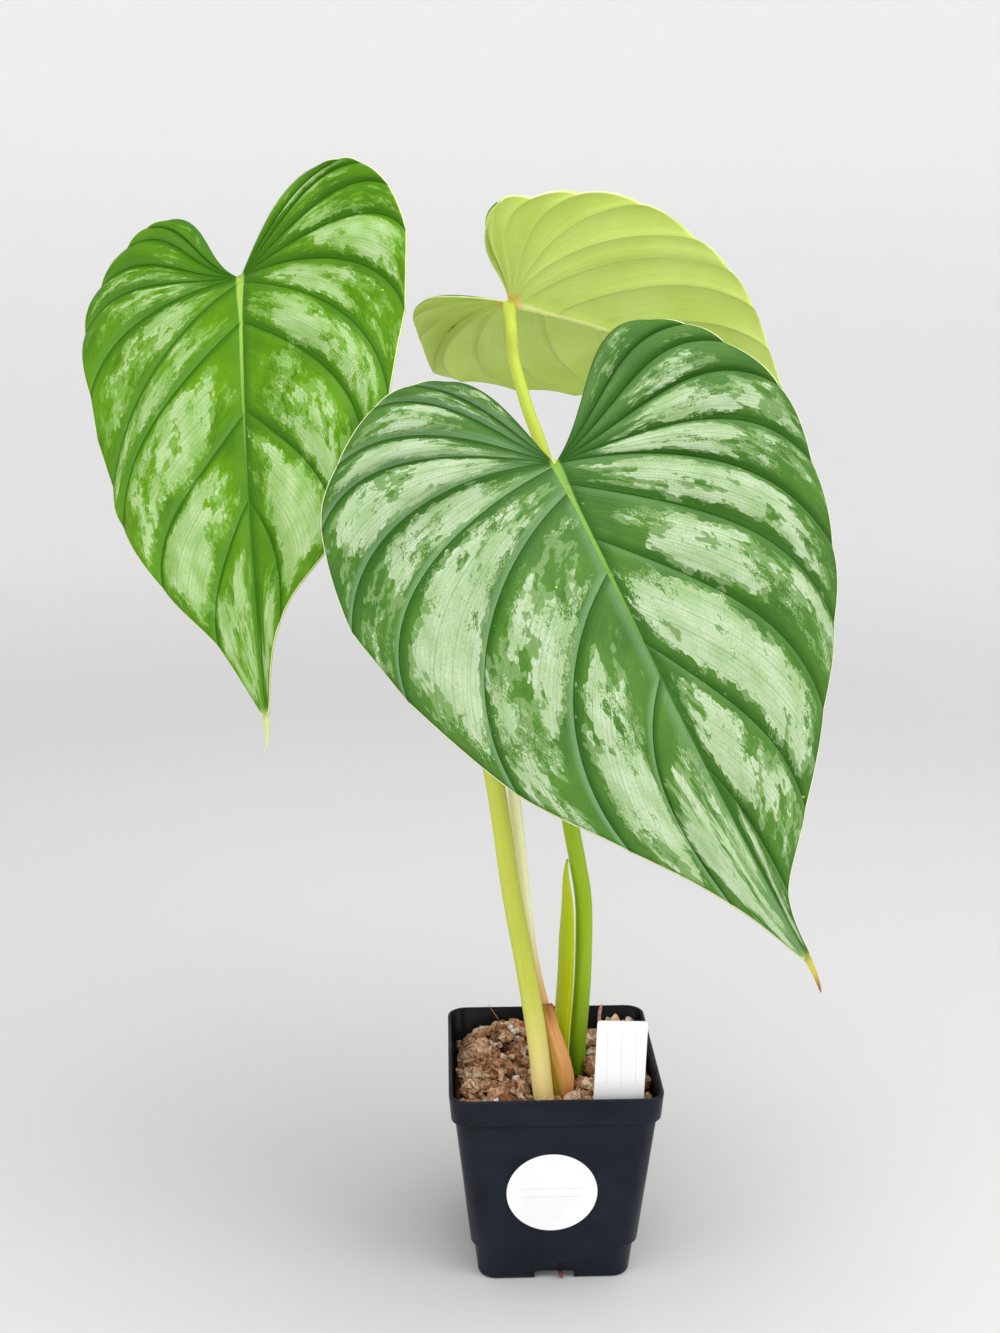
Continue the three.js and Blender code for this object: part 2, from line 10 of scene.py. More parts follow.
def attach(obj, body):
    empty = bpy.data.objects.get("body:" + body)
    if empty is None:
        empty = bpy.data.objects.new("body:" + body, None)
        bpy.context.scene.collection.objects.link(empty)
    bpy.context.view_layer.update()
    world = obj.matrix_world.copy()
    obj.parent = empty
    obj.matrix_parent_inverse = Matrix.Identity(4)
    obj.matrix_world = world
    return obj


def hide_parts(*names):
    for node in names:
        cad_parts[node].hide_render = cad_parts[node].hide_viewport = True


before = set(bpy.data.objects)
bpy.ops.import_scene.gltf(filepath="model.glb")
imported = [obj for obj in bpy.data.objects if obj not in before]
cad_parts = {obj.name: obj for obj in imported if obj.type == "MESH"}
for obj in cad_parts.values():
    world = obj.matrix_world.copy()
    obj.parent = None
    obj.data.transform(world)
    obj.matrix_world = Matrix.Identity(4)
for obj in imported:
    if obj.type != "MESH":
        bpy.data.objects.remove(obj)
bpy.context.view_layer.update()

# Lengths are in millimetres and angles in degrees until a mesh is finished, as in the part's source
MM = 0.001
DEG = math.pi / 180

CAMERA = {"at": (-45, -672, 432), "pitch": 14.2, "yaw": 1.95, "long_side": 1333, "focal": 1700}

POT = {
    "rim": 89, "height": 90, "band": 12, "body_top": 84, "body_foot": 71, "foot": 65, "foot_height": 16,
    "corner": 8, "band_corner": 7.1, "wall": 1.2, "floor": 1.6,
}
NOTCH = {"width": 17, "height": 4, "depth": 14, "drain": (10, 5)}

# Leaves: a vein is its root along the midrib, then its end on the margin, along and out
LEAVES = {
    "left": {
        "petiole_point": (-129.5, 67, 415), "heading": -86, "droop": 56, "roll": 31,
        "bend": (7, 4.5, 5.5), "fold_tip": -4, "tip": 191, "tail": (205, 2, -3),
        "left": {
            "fold": 6.5, "arch": 15, "sinus": 121, "skew": 0,
            "veins": ((0, -40.5, 37.5), (0, -40.5, 48.5), (0, -34, 59), (0, -19, 73.5), (0, 2, 82),
                      (0, 33, 79), (2, 79, 67.5), (21, 98.5, 62.5), (64, 130, 43.5), (102, 160, 18.5)),
        },
        "right": {
            "fold": 8.5, "arch": 17, "sinus": 149, "skew": 0,
            "veins": ((0, -39, 41), (0, -38.5, 52), (0, -33, 62), (0, -18, 74), (0, 6, 81),
                      (0, 41, 78), (2, 76, 68), (21, 100, 55), (61, 130, 37.5), (101, 156, 11)),
        },
    },
    "front": {
        "petiole_point": (-0.7, -5, 345.3), "heading": -47, "droop": 53.5, "roll": 27,
        "bend": (5, 2, -8), "fold_tip": -14, "tip": 213, "tail": (226, 2, -1),
        "left": {
            "fold": 10, "arch": 19, "sinus": 158, "skew": 12,
            "veins": ((0, -46, 27), (0, -49, 41), (0, -45, 59), (0, -28, 82), (0, -6, 98),
                      (0, 34.5, 102.6), (1, 66.5, 93.5), (13, 115, 70), (49, 151, 41), (95, 184, 16)),
        },
        "right": {
            "fold": 10, "arch": 13.5, "sinus": 122, "skew": -12,
            "veins": ((0, -42, 63), (0, -35, 77), (0, -22, 89), (0, 3, 102), (0, 37, 101),
                      (0, 72, 93), (9, 101, 78), (33, 131, 56), (79, 163, 29), (132, 189, 6)),
        },
    },
    "back": {
        "petiole_point": (-16, 73, 405), "heading": 22, "droop": 11, "roll": -34,
        "bend": (7, 14, 24), "fold_tip": 1, "tip": 148, "tail": (157, 3, 4),
        "left": {
            "fold": 12.5, "arch": 14, "sinus": 121, "skew": -4,
            "veins": ((0, -28.5, 45), (0, -28, 55), (0, -17, 59.5), (0, 0, 67.5), (0, 26, 70.5),
                      (0, 56, 62), (4, 78, 53), (22, 97.5, 40.5), (48, 116.5, 24.5), (78, 133, 11)),
        },
        "right": {
            "fold": 9, "arch": 15, "sinus": 176, "skew": 8,
            "veins": ((0, -34, 15), (0, -32.5, 28), (0, -22, 45), (0, -4.5, 69.5), (0, 11, 72.5),
                      (0, 38, 69.5), (4, 64, 60), (18, 86, 47), (44, 108, 32), (74, 129, 16)),
        },
    },
}
BASAL_VEINS = 5
VEIN_ANGLES = (90, 68, 56, 43, 32, 25)
VEIN_TO_MARGIN = 24
VEIN_REACH = 0.38
VEIN_FADE = {"tip": 40, "margin": 18}
BLADE = {"thick": 0.8, "columns": 38, "fan_rows": 18, "row_step": 1.2, "tail_rows": 18}
PLEAT = {"height": 3.9, "sharpness": 0.8, "sunk": 0.45, "full_at": 0.45, "full_spacing": 24, "tip_fade": 60}
# Height and width: the groove along a vein, the bead under it, and the trough along the midrib
GROOVE, BEAD, TROUGH = (0.4, 1.6), (0.55, 1.1), (0.5, 1.6)
MIDRIB = {"foot": 2.5, "end": 0.4, "half": 2.7}
TAIL = {"foot": 1.4, "end": 0.22, "keel": 0.3}
# Lengths in a UV map are in units of this many millimetres
CHART = 100.0

PETIOLES = {
    "left": {
        "path": ((-3.6, -24, 72.4), (-4.7, -24, 82), (-7.1, -21, 105), (-12.1, -18, 137),
                 (-17.6, -14, 167), (-25.5, -7, 220), (-41, 11, 279), (-64, 34, 327),
                 (-91, 59, 367), (-110, 75, 392)),
        "approach": 17, "radii": (4.4, 4, 3.8, 3.2, 2.7),
    },
    "front": {
        "path": ((4.6, -17.5, 72.5), (3.2, -15.5, 86), (-1.1, -12, 104), (-7.9, -8, 132),
                 (-11.5, -5.5, 158), (-13.8, -4, 184), (-16.8, -2, 213), (-19, 3, 252),
                 (-17, 9, 290), (-11, 14, 317)),
        "approach": 18, "radii": (2.6, 2.6, 2.5, 2.5, 2.4),
    },
    "back": {
        "path": ((11.2, -1, 72.5), (11.6, -1, 95), (12.8, 0, 113), (13.7, 2, 130), (13.6, 5, 158),
                 (11, 8, 175), (8, 12, 192), (3, 26, 240), (1, 40, 290), (0, 53, 335),
                 (-9, 63, 363), (-14, 69, 382)),
        "approach": 10, "radii": (3.6, 3.6, 3.4, 2.9, 2.4),
    },
}
PETIOLE_GRID, SHEATH_GRID = (170, 32), (90, 48)
# Where a petiole ends: how far under the blade, the gap to it, the length that goes into the midrib, and
# the height and width of the swelling there
PETIOLE_END = {"under_blade": 2.6, "gap": 0.3, "into_blade": 1.8, "collar": (0.5, 6)}

SHEATHS = {
    "brown": {"around": "front", "aside": (0, 0), "length": 47, "radii": (3.6, 5, 5.3, 3.8, 3.9),
              "facing": -62, "half_wrap": 115, "lean": 0, "taper": 16, "thick": 0.7, "crinkle": 0.56},
    "green": {"around": "back", "aside": (3.7, 0), "length": 103, "radii": (6.4, 7, 6.8, 4.2),
              "facing": -140.5, "half_wrap": 44.5, "lean": -1, "taper": 10, "thick": 0.9, "crinkle": 0.1},
}
# How late a sheath's offset at its foot turns into the one at its tip, and how far its foot stands above
# the petiole's
SHEATH_CHANGE, SHEATH_LIFT = 13, 0.3

# The bark bed: its half width and corners, its level by the wall, and its skirt's heights and half widths.
# Chips keep inside the pot's mouth above the level, and inside its neck below
SOIL = {
    "half": 41.6, "corner": 7.0, "level": 79.2, "crown": 1.6, "cells": 70, "under_chips": 1.6,
    "skirt": ((72, 39.4), (20, 33.6), (6, 31.0)), "mouth": 42.2, "neck": 40.6,
}
# Heaps on it, the last one a hollow: rise, middle, and spread squared each way
HEAPS = ((8.0, -18, 20, 150, 190), (3.0, -27, -4, 240, 240), (3.2, 25, 8, 300, 300), (9.0, 40, 37, 70, 70),
         (-4.0, 3, -28, 90, 60))
# Where stems and sheaths leave the bark: place and radius
STEM_FEET = ((-4.3, -24, 4.5), (4, -16.5, 5.9), (11.4, -1, 3.8), (7.8, -1.5, 6.6))
# Chips by size, and how many of each
CHIPS = (((9, 6.5, 4.4), 36), ((6.8, 4.4, 3.2), 140), ((4.6, 3.2, 2.4), 230), ((2.8, 2.1, 1.6), 110))
# Small things that stand out: perlite grains, a red husk, an upright fibre and a root in the air
SEEN_GRAINS = ((-28.2, 32), (-20, 22.7), (-20.8, 1.8), (-15.8, -13.8), (-21.1, -19.8), (-24.9, -31.7),
               (37.5, 33), (18.5, -12.5))
RED_HUSK_AT = (-11.8, 20)
UPRIGHT_FIBRE = ((-20, 28, 85), (-21.5, 27, 91), (-24, 25.5, 96), (-26.5, 24, 101))
AERIAL_ROOT = ((24, 35, 77), (24.4, 37.2, 83), (24.6, 38.2, 89), (25.4, 38.2, 93.5))

# Seeds: one for the noise that roughens every lump, and one for each kind of loose piece
SEEDS = {"rough": 4, "chips": 21, "curls": 33, "fibres": 5, "grains": 9}
noise.seed_set(SEEDS["rough"])

LABEL = {"width": 20.8, "length": 70, "point": 12, "thick": 0.8, "corner": 1.5, "top": 121.5,
         "at": (26.8, -37), "lean": 1.9, "rules": (20.5, 26.5, 32.5), "ruled": (104.5, 11.5)}
STICKER = {"radius": 19, "thick": 0.3, "gap": 0.06, "at": (-1.7, 44.8), "rules": (46.8, 42.8),
           "ruled": (-1.7, 12.5)}
RULE_HALF = 0.14

# The studio dish, and its softboxes in metres: place, aim, size and power
STUDIO = {"flat": 1500.0, "bend": 900.0, "top": 2600.0, "air": "f4f5f6", "air_strength": 0.62}
LIGHTS = {
    "overhead_softbox": ((0.3, -0.25, 1.75), (0, 0, 0.2), (1.7, 1.5), 25),
    "right_softbox": ((1.35, -0.75, 1.05), (0, 0, 0.25), (0.9, 1.2), 8),
    "left_fill": ((-1.3, -0.9, 0.9), (0, 0, 0.25), (1.0, 1.2), 6),
    "front_fill": ((-0.35, -1.7, 0.7), (0, 0, 0.12), (1.5, 1.0), 7),
}


# Shaping

def smoothstep(x, low, high):
    t = np.clip((x - low) / (high - low), 0, 1)
    return t * t * (3 - 2 * t)


def swell(distance, height, width):
    """The height of a rounded ridge, at a distance from its line."""
    return height * np.exp(-(distance / width) ** 2)


def smooth_path(points):
    """A centripetal Catmull-Rom curve: its points and their distances along it."""
    points = np.array(points, float)
    ends = np.vstack([2 * points[0] - points[1], points, 2 * points[-1] - points[-2]])
    chords = np.sum(np.diff(ends, axis=0) ** 2, axis=1) ** 0.25
    t = np.linspace(0, 1, 40, endpoint=False)[:, None]
    pieces = []
    for i in range(len(points) - 1):
        p0, p1, p2, p3 = ends[i:i + 4]
        before, here, after = chords[i:i + 3]
        leave = here * ((p1 - p0) / before - (p2 - p0) / (before + here)) + p2 - p1
        arrive = here * ((p3 - p2) / after - (p3 - p1) / (here + after)) + p2 - p1
        pieces.append(p1 + leave * t + (3 * (p2 - p1) - 2 * leave - arrive) * t ** 2
                      + (2 * (p1 - p2) + leave + arrive) * t ** 3)
    curve = np.vstack([*pieces, points[-1:]])
    distance = np.concatenate([[0], np.cumsum(np.linalg.norm(np.diff(curve, axis=0), axis=1))])
    return curve, distance


def along(curve, distance, at):
    return np.stack([np.interp(at, distance, curve[:, axis]) for axis in range(3)], axis=-1)


def frames(curve, distance, at):
    """Places on a curve, with two directions square to it, the first nearest to +X."""
    centre = along(curve, distance, at)
    tangent = along(curve, distance, at + 0.5) - along(curve, distance, at - 0.5)
    tangent /= np.linalg.norm(tangent, axis=1)[:, None]
    u = np.array([1.0, 0, 0]) - tangent[:, :1] * tangent
    u /= np.linalg.norm(u, axis=1)[:, None]
    return centre, u, np.cross(tangent, u)


def tube_points(curve, distance, at, size, sides, flat=1.0):
    """Rings round a curve, each point as far out as size says, flattened across by flat."""
    centre, u, v = frames(curve, distance, at)
    angle = np.linspace(0, 2 * math.pi, sides + 1)
    ring = u[:, None] * np.cos(angle)[None, :, None] + flat * v[:, None] * np.sin(angle)[None, :, None]
    return centre[:, None] + size[..., None] * ring


def blank(*charts):
    """An empty bmesh, with a UV map for each chart named."""
    bm = bmesh.new()
    for chart in charts:
        bm.loops.layers.uv.new(chart)
    return bm


def verts_of(geometry):
    return [v for v in geometry if isinstance(v, bmesh.types.BMVert)]


def lay_grid(bm, points, charts, slot=0):
    """Adds a grid to bm, its vertices moved to points[row, column]. A chart is a UV map's values there,
    once for the columns left of the middle and once for those right of it."""
    rows, columns = points.shape[0] - 1, points.shape[1] - 1
    made = bmesh.ops.create_grid(bm, x_segments=columns, y_segments=rows, size=0.5)["verts"]
    where = {v: (round((v.co.y + 0.5) * rows), round((v.co.x + 0.5) * columns)) for v in made}
    layers = [(bm.loops.layers.uv[name], chart) for name, chart in charts.items()]
    for face in {f for v in made for f in v.link_faces}:
        face.material_index = slot
        face.smooth = True
        half = 0 if max(where[v][1] for v in face.verts) <= columns // 2 else 1
        for loop in face.loops:
            row, column = where[loop.vert]
            for layer, chart in layers:
                loop[layer].uv = chart[half, row, column]
    for v, (row, column) in where.items():
        v.co = points[row, column]
    return made, where


def closed_sheet(bm, upper, lower, charts, rim_slot=0, lower_slot=0):
    """Two grids in an empty bmesh, the upper one's open edges pulled down onto the lower one's."""
    _, where = lay_grid(bm, upper, charts)
    rim = [e for e in bm.edges if e.is_boundary]
    lay_grid(bm, lower, charts, lower_slot)
    pulled = bmesh.ops.extrude_edge_only(bm, edges=rim)["geom"]
    new = set(verts_of(pulled))
    for v in new:
        source = next(e.other_vert(v) for e in v.link_edges if e.other_vert(v) not in new)
        v.co = lower[where[source]]
    for face in pulled:
        if isinstance(face, bmesh.types.BMFace):
            face.material_index = rim_slot
            face.smooth = True
    bmesh.ops.remove_doubles(bm, verts=bm.verts, dist=0.002)
    bmesh.ops.recalc_face_normals(bm, faces=bm.faces)


def add_tube(bm, points, charts):
    """Adds a grid whose last column meets its first."""
    points[:, -1] = points[:, 0]
    made, _ = lay_grid(bm, points, charts)
    bmesh.ops.remove_doubles(bm, verts=made, dist=0.0005)


def close_ends(bm):
    """Fills the open ends of tubes and turns every face outwards."""
    bmesh.ops.holes_fill(bm, edges=[e for e in bm.edges if e.is_boundary])
    bmesh.ops.recalc_face_normals(bm, faces=bm.faces)


def mesh_of(bm, name):
    mesh = bpy.data.meshes.new(name)
    bm.to_mesh(mesh)
    bm.free()
    return mesh


def in_scene(name, data):
    """A new object in the scene, for a mesh, a light or a camera."""
    made = bpy.data.objects.new(name, data)
    bpy.context.scene.collection.objects.link(made)
    return made


def object_of(bm, name):
    """Turns a bmesh in millimetres into an object in metres."""
    bmesh.ops.scale(bm, vec=(MM, MM, MM), verts=bm.verts)
    return in_scene(name, mesh_of(bm, name))


def finished(bm, name, finishes, replaces=()):
    """Turns a bmesh in millimetres into a piece that rides on the plant."""
    piece = object_of(bm, name)
    for finish in finishes:
        piece.data.materials.append(finish)
    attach(piece, "root")
    if replaces:
        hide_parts(*replaces)
    return piece


def plain_chart(rows, columns, length=1.0):
    """A UV map that runs across by columns and along by rows."""
    u, v = np.meshgrid(np.linspace(0, 1, columns + 1), np.linspace(0, length, rows + 1))
    chart = np.stack([u, v], axis=-1)
    return np.stack([chart, chart])


# Node trees

class Value:
    """A node's output, to write sums with: each sign adds a node to the tree."""

    def __init__(self, nodes, socket):
        self.nodes, self.socket = nodes, socket

    def __add__(self, other):
        return self.nodes.math("ADD", self, other)

    def __radd__(self, other):
        return self.nodes.math("ADD", other, self)

    def __sub__(self, other):
        return self.nodes.math("SUBTRACT", self, other)

    def __rsub__(self, other):
        return self.nodes.math("SUBTRACT", other, self)

    def __mul__(self, other):
        return self.nodes.math("MULTIPLY", self, other)

    def __truediv__(self, other):
        return self.nodes.math("DIVIDE", self, other)

    def __abs__(self):
        return self.nodes.math("ABSOLUTE", self)

    def fade(self, low, high, start, end):
        """Goes smoothly from start to end, as the value goes from low to high."""
        inputs = {"Value": self, "From Min": low, "From Max": high, "To Min": start, "To Max": end}
        return self.nodes.add("MapRange", inputs, interpolation_type="SMOOTHSTEP")[0]

    def rise(self, low, high, top=1.0):
        return self.fade(low, high, 0.0, top)

    def fall(self, low, high, top=1.0):
        return self.fade(low, high, top, 0.0)


class Nodes:
    """Adds nodes to a tree and gives their outputs, by place and by name. An input that is a Value is
    linked, six hexadecimal digits are a colour, and any other input is set."""

    def __init__(self, tree):
        self.tree = tree

    def outputs(self, node):
        return {key: Value(self, socket) for place, socket in enumerate(node.outputs)
                for key in (place, socket.name)}

    def add(self, kind, inputs=(), **settings):
        made = self.tree.nodes.new("ShaderNode" + kind)
        for name, value in settings.items():
            setattr(made, name, value)
        for key, value in dict(inputs).items():
            if isinstance(value, Value):
                self.tree.links.new(value.socket, made.inputs[key])
            else:
                made.inputs[key].default_value = colour(value) if isinstance(value, str) else value
        return self.outputs(made)

    def math(self, operation, *values, clamp=False):
        return self.add("Math", enumerate(values), operation=operation, use_clamp=clamp)[0]

    def mix(self, share, first, second, blend="MIX"):
        return self.add("Mix", {0: share, 6: first, 7: second}, data_type="RGBA", blend_type=blend)[2]

    def paint(self, tone, *coats):
        """Lays coats over a tone, each its share and its colour."""
        for share, coat in coats:
            tone = self.mix(share, tone, coat)
        return tone

    def stretch(self, place, scale):
        return self.add("VectorMath", {0: place, 1: scale}, operation="MULTIPLY")[0]

    def length(self, place):
        return self.add("VectorMath", {0: place}, operation="LENGTH")[1]

    def join(self, x, y, z=0.0):
        return self.add("CombineXYZ", {0: x, 1: y, 2: z})[0]

    def split(self, place):
        parts = self.add("SeparateXYZ", {0: place})
        return [parts[axis] for axis in range(3)]

    def noise(self, place, scale, detail=2.0, roughness=0.5):
        """Noise with one scale, or with one for each axis."""
        if isinstance(scale, tuple):
            place, scale = self.stretch(place, scale), 1.0
        inputs = {"Vector": place, "Scale": scale, "Detail": detail, "Roughness": roughness}
        return self.add("TexNoise", inputs)[0]

    def mottle(self, place, tones, *grain):
        """Two colours, blended by noise."""
        return self.mix(self.noise(place, *grain).rise(0.3, 0.7), *tones)

    def cells(self, place, scale, randomness=1.0, feature="F1"):
        inputs = {"Vector": place, "Scale": scale, "Randomness": randomness}
        return self.add("TexVoronoi", inputs, feature=feature)

    def uv(self, name):
        return self.add("UVMap", uv_map=name)[0]

    def place(self):
        return self.add("TexCoord")["Object"]

    def use(self, group, inputs):
        return self.add("Group", inputs, node_tree=group)


def colour(code):
    """A linear colour with alpha from six hexadecimal digits."""
    parts = [int(code[i:i + 2], 16) / 255 for i in (0, 2, 4)]
    return (*[c / 12.92 if c <= 0.04045 else ((c + 0.055) / 1.055) ** 2.4 for c in parts], 1.0)


def effect(name, takes, gives, build):
    """A node group. takes: the labels and kinds of its inputs. gives: the labels of its outputs, in the
    order of what build(nodes, inputs) returns."""
    tree = bpy.data.node_groups.new(name, "ShaderNodeTree")
    for label, kind in takes.items():
        tree.interface.new_socket(name=label, in_out="INPUT", socket_type="NodeSocket" + kind)
    for label in gives:
        tree.interface.new_socket(name=label, in_out="OUTPUT", socket_type="NodeSocketFloat")
    nodes = Nodes(tree)
    results = build(nodes, nodes.outputs(tree.nodes.new("NodeGroupInput")))
    out = tree.nodes.new("NodeGroupOutput")
    for socket, result in zip(out.inputs, results):
        tree.links.new(result.socket, socket)
    return tree


def finish(name, build):
    """A material. build(nodes) returns its colour, roughness and specular level, then the height of its
    relief in millimetres and the relief's strength, if it has one."""
    made = bpy.data.materials.new(name)
    made.use_nodes = True
    made.node_tree.nodes.clear()
    nodes = Nodes(made.node_tree)
    tone, rough, gloss, *relief = build(nodes)
    inputs = {"Base Color": tone, "Roughness": rough, "Specular IOR Level": gloss}
    if relief:
        bump = {"Height": relief[0], "Strength": relief[1], "Distance": MM}
        inputs["Normal"] = nodes.add("Bump", bump)[0]
    shader = nodes.add("BsdfPrincipled", inputs)
    nodes.add("OutputMaterial", {0: shader[0]})
    return made


# Effects that several finishes share

def leaf_network(nodes, given):
    """Where the veins run, with painted shade and painted sheen on the two sides of each, from the vein chart
    (vein number, share of the way out), the reach chart (spacing of the veins, distance to the margin) and
    the flat chart (along and out from the midrib)."""
    vein, out, _ = nodes.split(given["Veins"])
    spacing, margin, _ = nodes.split(given["Reach"])
    lengthwise, sideways, _ = nodes.split(given["Flat"])
    share = nodes.math("FRACT", vein)
    millimetres = spacing * CHART
    right_of = share * millimetres
    left_of = (1.0 - share) * millimetres
    line = nodes.math("MINIMUM", right_of, left_of).fall(0.1, 0.5)
    away = abs(sideways) * CHART
    on_right = nodes.math("GREATER_THAN", sideways, 0.0)
    # Painted light on the pleats: deep is a painted shade on one side of each vein and right of the midrib,
    # lit a painted sheen on the other side and left of the midrib
    by_rib = away.fall(1.0, 6.5)
    deep = nodes.math("MAXIMUM", left_of.fall(0.5, 5.5), by_rib * on_right)
    lit_by_rib = by_rib * nodes.math("SUBTRACT", 0.7, on_right, clamp=True)
    lit = nodes.math("MAXIMUM", right_of.fall(1.0, 5.5), lit_by_rib) * (1.0 - on_right * 0.7)

    def parallel(count, width):
        """Fine veins between the main ones, so many to each, where there is room for them."""
        gap = spacing * (CHART / count)
        off = nodes.math("PINGPONG", vein * float(count), 0.5) * gap
        return off.fall(width * 0.3, width) * gap.rise(width * 1.5, width * 4)

    fine = nodes.math("MAXIMUM", parallel(5, 0.34), parallel(17, 0.3) * 0.5)
    half_rib = lengthwise.fade(0.0, 0.22, 2.1, 0.95) - lengthwise.rise(0.25, 1.1, 0.6)
    rib = (away / half_rib).fall(0.6, 1.25) * lengthwise.rise(-0.03, 0.0)
    edge = (margin * CHART).fall(0.3, 0.85)
    net = nodes.cells(nodes.join(vein * 20.0, out * 95.0), 1.0, 0.55, "DISTANCE_TO_EDGE")["Distance"]
    return line, deep, lit, fine, rib, edge, net.fall(0.02, 0.14)


def leaf_silver(nodes, given):
    """Silver patches between the veins, stepped by small cells long along the veins, the thin film that
    shows at their edges, and the fresher green round them."""
    vein, out, _ = nodes.split(given["Veins"])
    seed, soft = given["Seed"], given["Softness"]
    cells_across, cells_out = 20.0, 44.0

    def drift(x, y, across, outward, detail, offset):
        """Noise on both sides of zero, with its own scale across the veins and outward."""
        return nodes.noise(nodes.join(x * across, y * outward, seed + offset), 1.0, detail, 0.65) - 0.5

    grain = nodes.join(vein * cells_across, out * cells_out, seed)
    x, y, _ = nodes.split(nodes.cells(grain, 1.0)["Position"])
    x, y = x / cells_across, y / cells_out
    number = abs(x)
    inner = (y - number.fade(1.5, 8.0, 0.34, 0.13)) / 0.16
    outer = (0.93 - y) / 0.2
    parts = ((nodes.math("MINIMUM", nodes.math("MINIMUM", inner, outer), 1.0), 0.62),
             (nodes.math("PINGPONG", x, 0.5).fade(0.03, 0.22, -1.0, 0.25), 0.85),
             (number.fade(1.0, 4.6, -0.9, 0.12), 0.7),
             (drift(x, y, 0.9, 2.1, 0.0, 0.0), 2.2),
             (drift(x, y, 5.2, 8.5, 4.0, 3.7), 3.4),
             (drift(vein, out, 9.0, 26.0, 1.0, 8.3), 0.6))
    flecked = drift(vein, out, 1.7, 4.5, 0.0, 5.1).fade(-0.02, 0.14, 0.15, 1.5)
    score = drift(vein, out, 46.0, 120.0, 1.0, 1.9) * flecked + given["Amount"]
    for part, weight in parts:
        score = score + part * weight
    film = score + drift(x, y, 6.0, 9.0, 2.0, 6.1) * 1.6
    return score.rise(0.5 - soft, 0.5 + soft), film.rise(0.16, 0.22), score.rise(-0.25, 0.45)


def stem_streaks(nodes, given):
    """Fine lengthwise streaks from the skin chart (across, along), and scattered small specks."""
    x, y, _ = nodes.split(given["Skin"])
    fine = nodes.noise(nodes.join(x * 60.0, y * 2.2), 1.0, 3.0, 0.6)
    broad = nodes.noise(nodes.join(x * 9.0, y * 1.1), 1.0)
    specks = nodes.cells(nodes.join(x * 14.0, y * 18.0), 1.0)["Distance"]
    return fine, broad, specks.fall(0.04, 0.12)


LEAF_CHARTS = ("Veins", "Reach", "Flat")
NETWORK = effect("leaf_network", dict.fromkeys(LEAF_CHARTS, "Vector"),
                 ("Line", "Deep", "Lit", "Fine", "Rib", "Edge", "Net"), leaf_network)
SILVER = effect("leaf_silver", {"Veins": "Vector", "Seed": "Float", "Amount": "Float", "Softness": "Float"},
                ("Silver", "Film", "Halo"), leaf_silver)
STREAKS = effect("stem_streaks", {"Skin": "Vector"}, ("Fine", "Broad", "Specks"), stem_streaks)


# Leaf finishes

def leaf_upper(name, tones, silver, seed, amount, bare, softness, gloss, tip, tail):
    """tones: shaded side of a valley, lit side, deep green, fresh green, vein, midrib near the stem,
    midrib near the tip, margin. bare: how much less silver the left lobe has."""
    valley, lit, deep, fresh, vein_green, rib_base, rib_end, margin = tones
    silver_light, silver_dark = silver

    def build(nodes):
        charts = {label: nodes.uv(label.lower()) for label in LEAF_CHARTS}
        veins, flat = charts["Veins"], charts["Flat"]
        net = nodes.use(NETWORK, charts)
        lengthwise, vein = nodes.split(flat)[0], nodes.split(veins)[0]
        lobe = vein.rise(-6.5, -4.0) * vein.fall(-0.2, 0.2, bare)
        patches = nodes.use(SILVER, {"Veins": veins, "Seed": seed, "Softness": softness,
                                     "Amount": amount - lobe})
        broad = nodes.noise(flat, (3.2, 3.2, 0), 3.0)
        streaks = nodes.noise(veins, (42.0, 5.0, 0), 2.0, 0.6)
        # The lit coat is a painted sheen and the valley coat a painted shade, on the two sides of each pleat
        green = nodes.paint(
            deep, (broad.rise(0.34, 0.68, 0.5), fresh), (patches["Halo"] * 0.6, fresh),
            (streaks.rise(0.45, 0.75, 0.35), fresh), (net["Lit"] * 0.7, lit), (net["Deep"] * 0.85, valley))
        pale = nodes.mottle(veins, (silver_dark, silver_light), (3.0, 6.0, 0), 3.0)
        pale = nodes.mix(streaks.fall(0.35, 0.65, 0.4), pale, silver_dark)
        spots = nodes.cells(nodes.stretch(flat, (9.0, 9.0, 0)), 1.0)["Distance"]
        spots = spots.fall(0.03, 0.06, 0.6) * broad.rise(0.44, 0.56)
        rib = nodes.mix(lengthwise.rise(0.1, tip / CHART * 0.6), rib_base, rib_end)
        rib_strength = lengthwise.fade(0.3, tip / CHART * 0.7, 1.0, 0.3)
        end = nodes.mix(lengthwise.rise((tip + 5) / CHART, (tip + 12) / CHART), *tail)
        # The crease line along each vein takes the valley tone: the vein's own darker green with painted
        # shade in its groove
        skin = nodes.paint(
            green, (patches["Film"] * 0.4, silver_dark), (patches["Silver"], pale),
            (net["Net"] * 0.22, vein_green), (net["Fine"] * 0.3, vein_green), (net["Line"] * 0.8, valley),
            (spots, "d6dc64"), (net["Rib"] * rib_strength, rib), (net["Edge"], margin),
            (lengthwise.rise((tip - 4) / CHART, (tip + 3) / CHART), end))
        height = (net["Fine"] * -0.10 + net["Line"] * -0.35 + net["Net"] * -0.03 + net["Rib"] * 0.35
                  + streaks * 0.12)
        return skin, patches["Silver"].fade(0.0, 1.0, 0.33, 0.42), gloss, height, 0.7

    return finish(name, build)


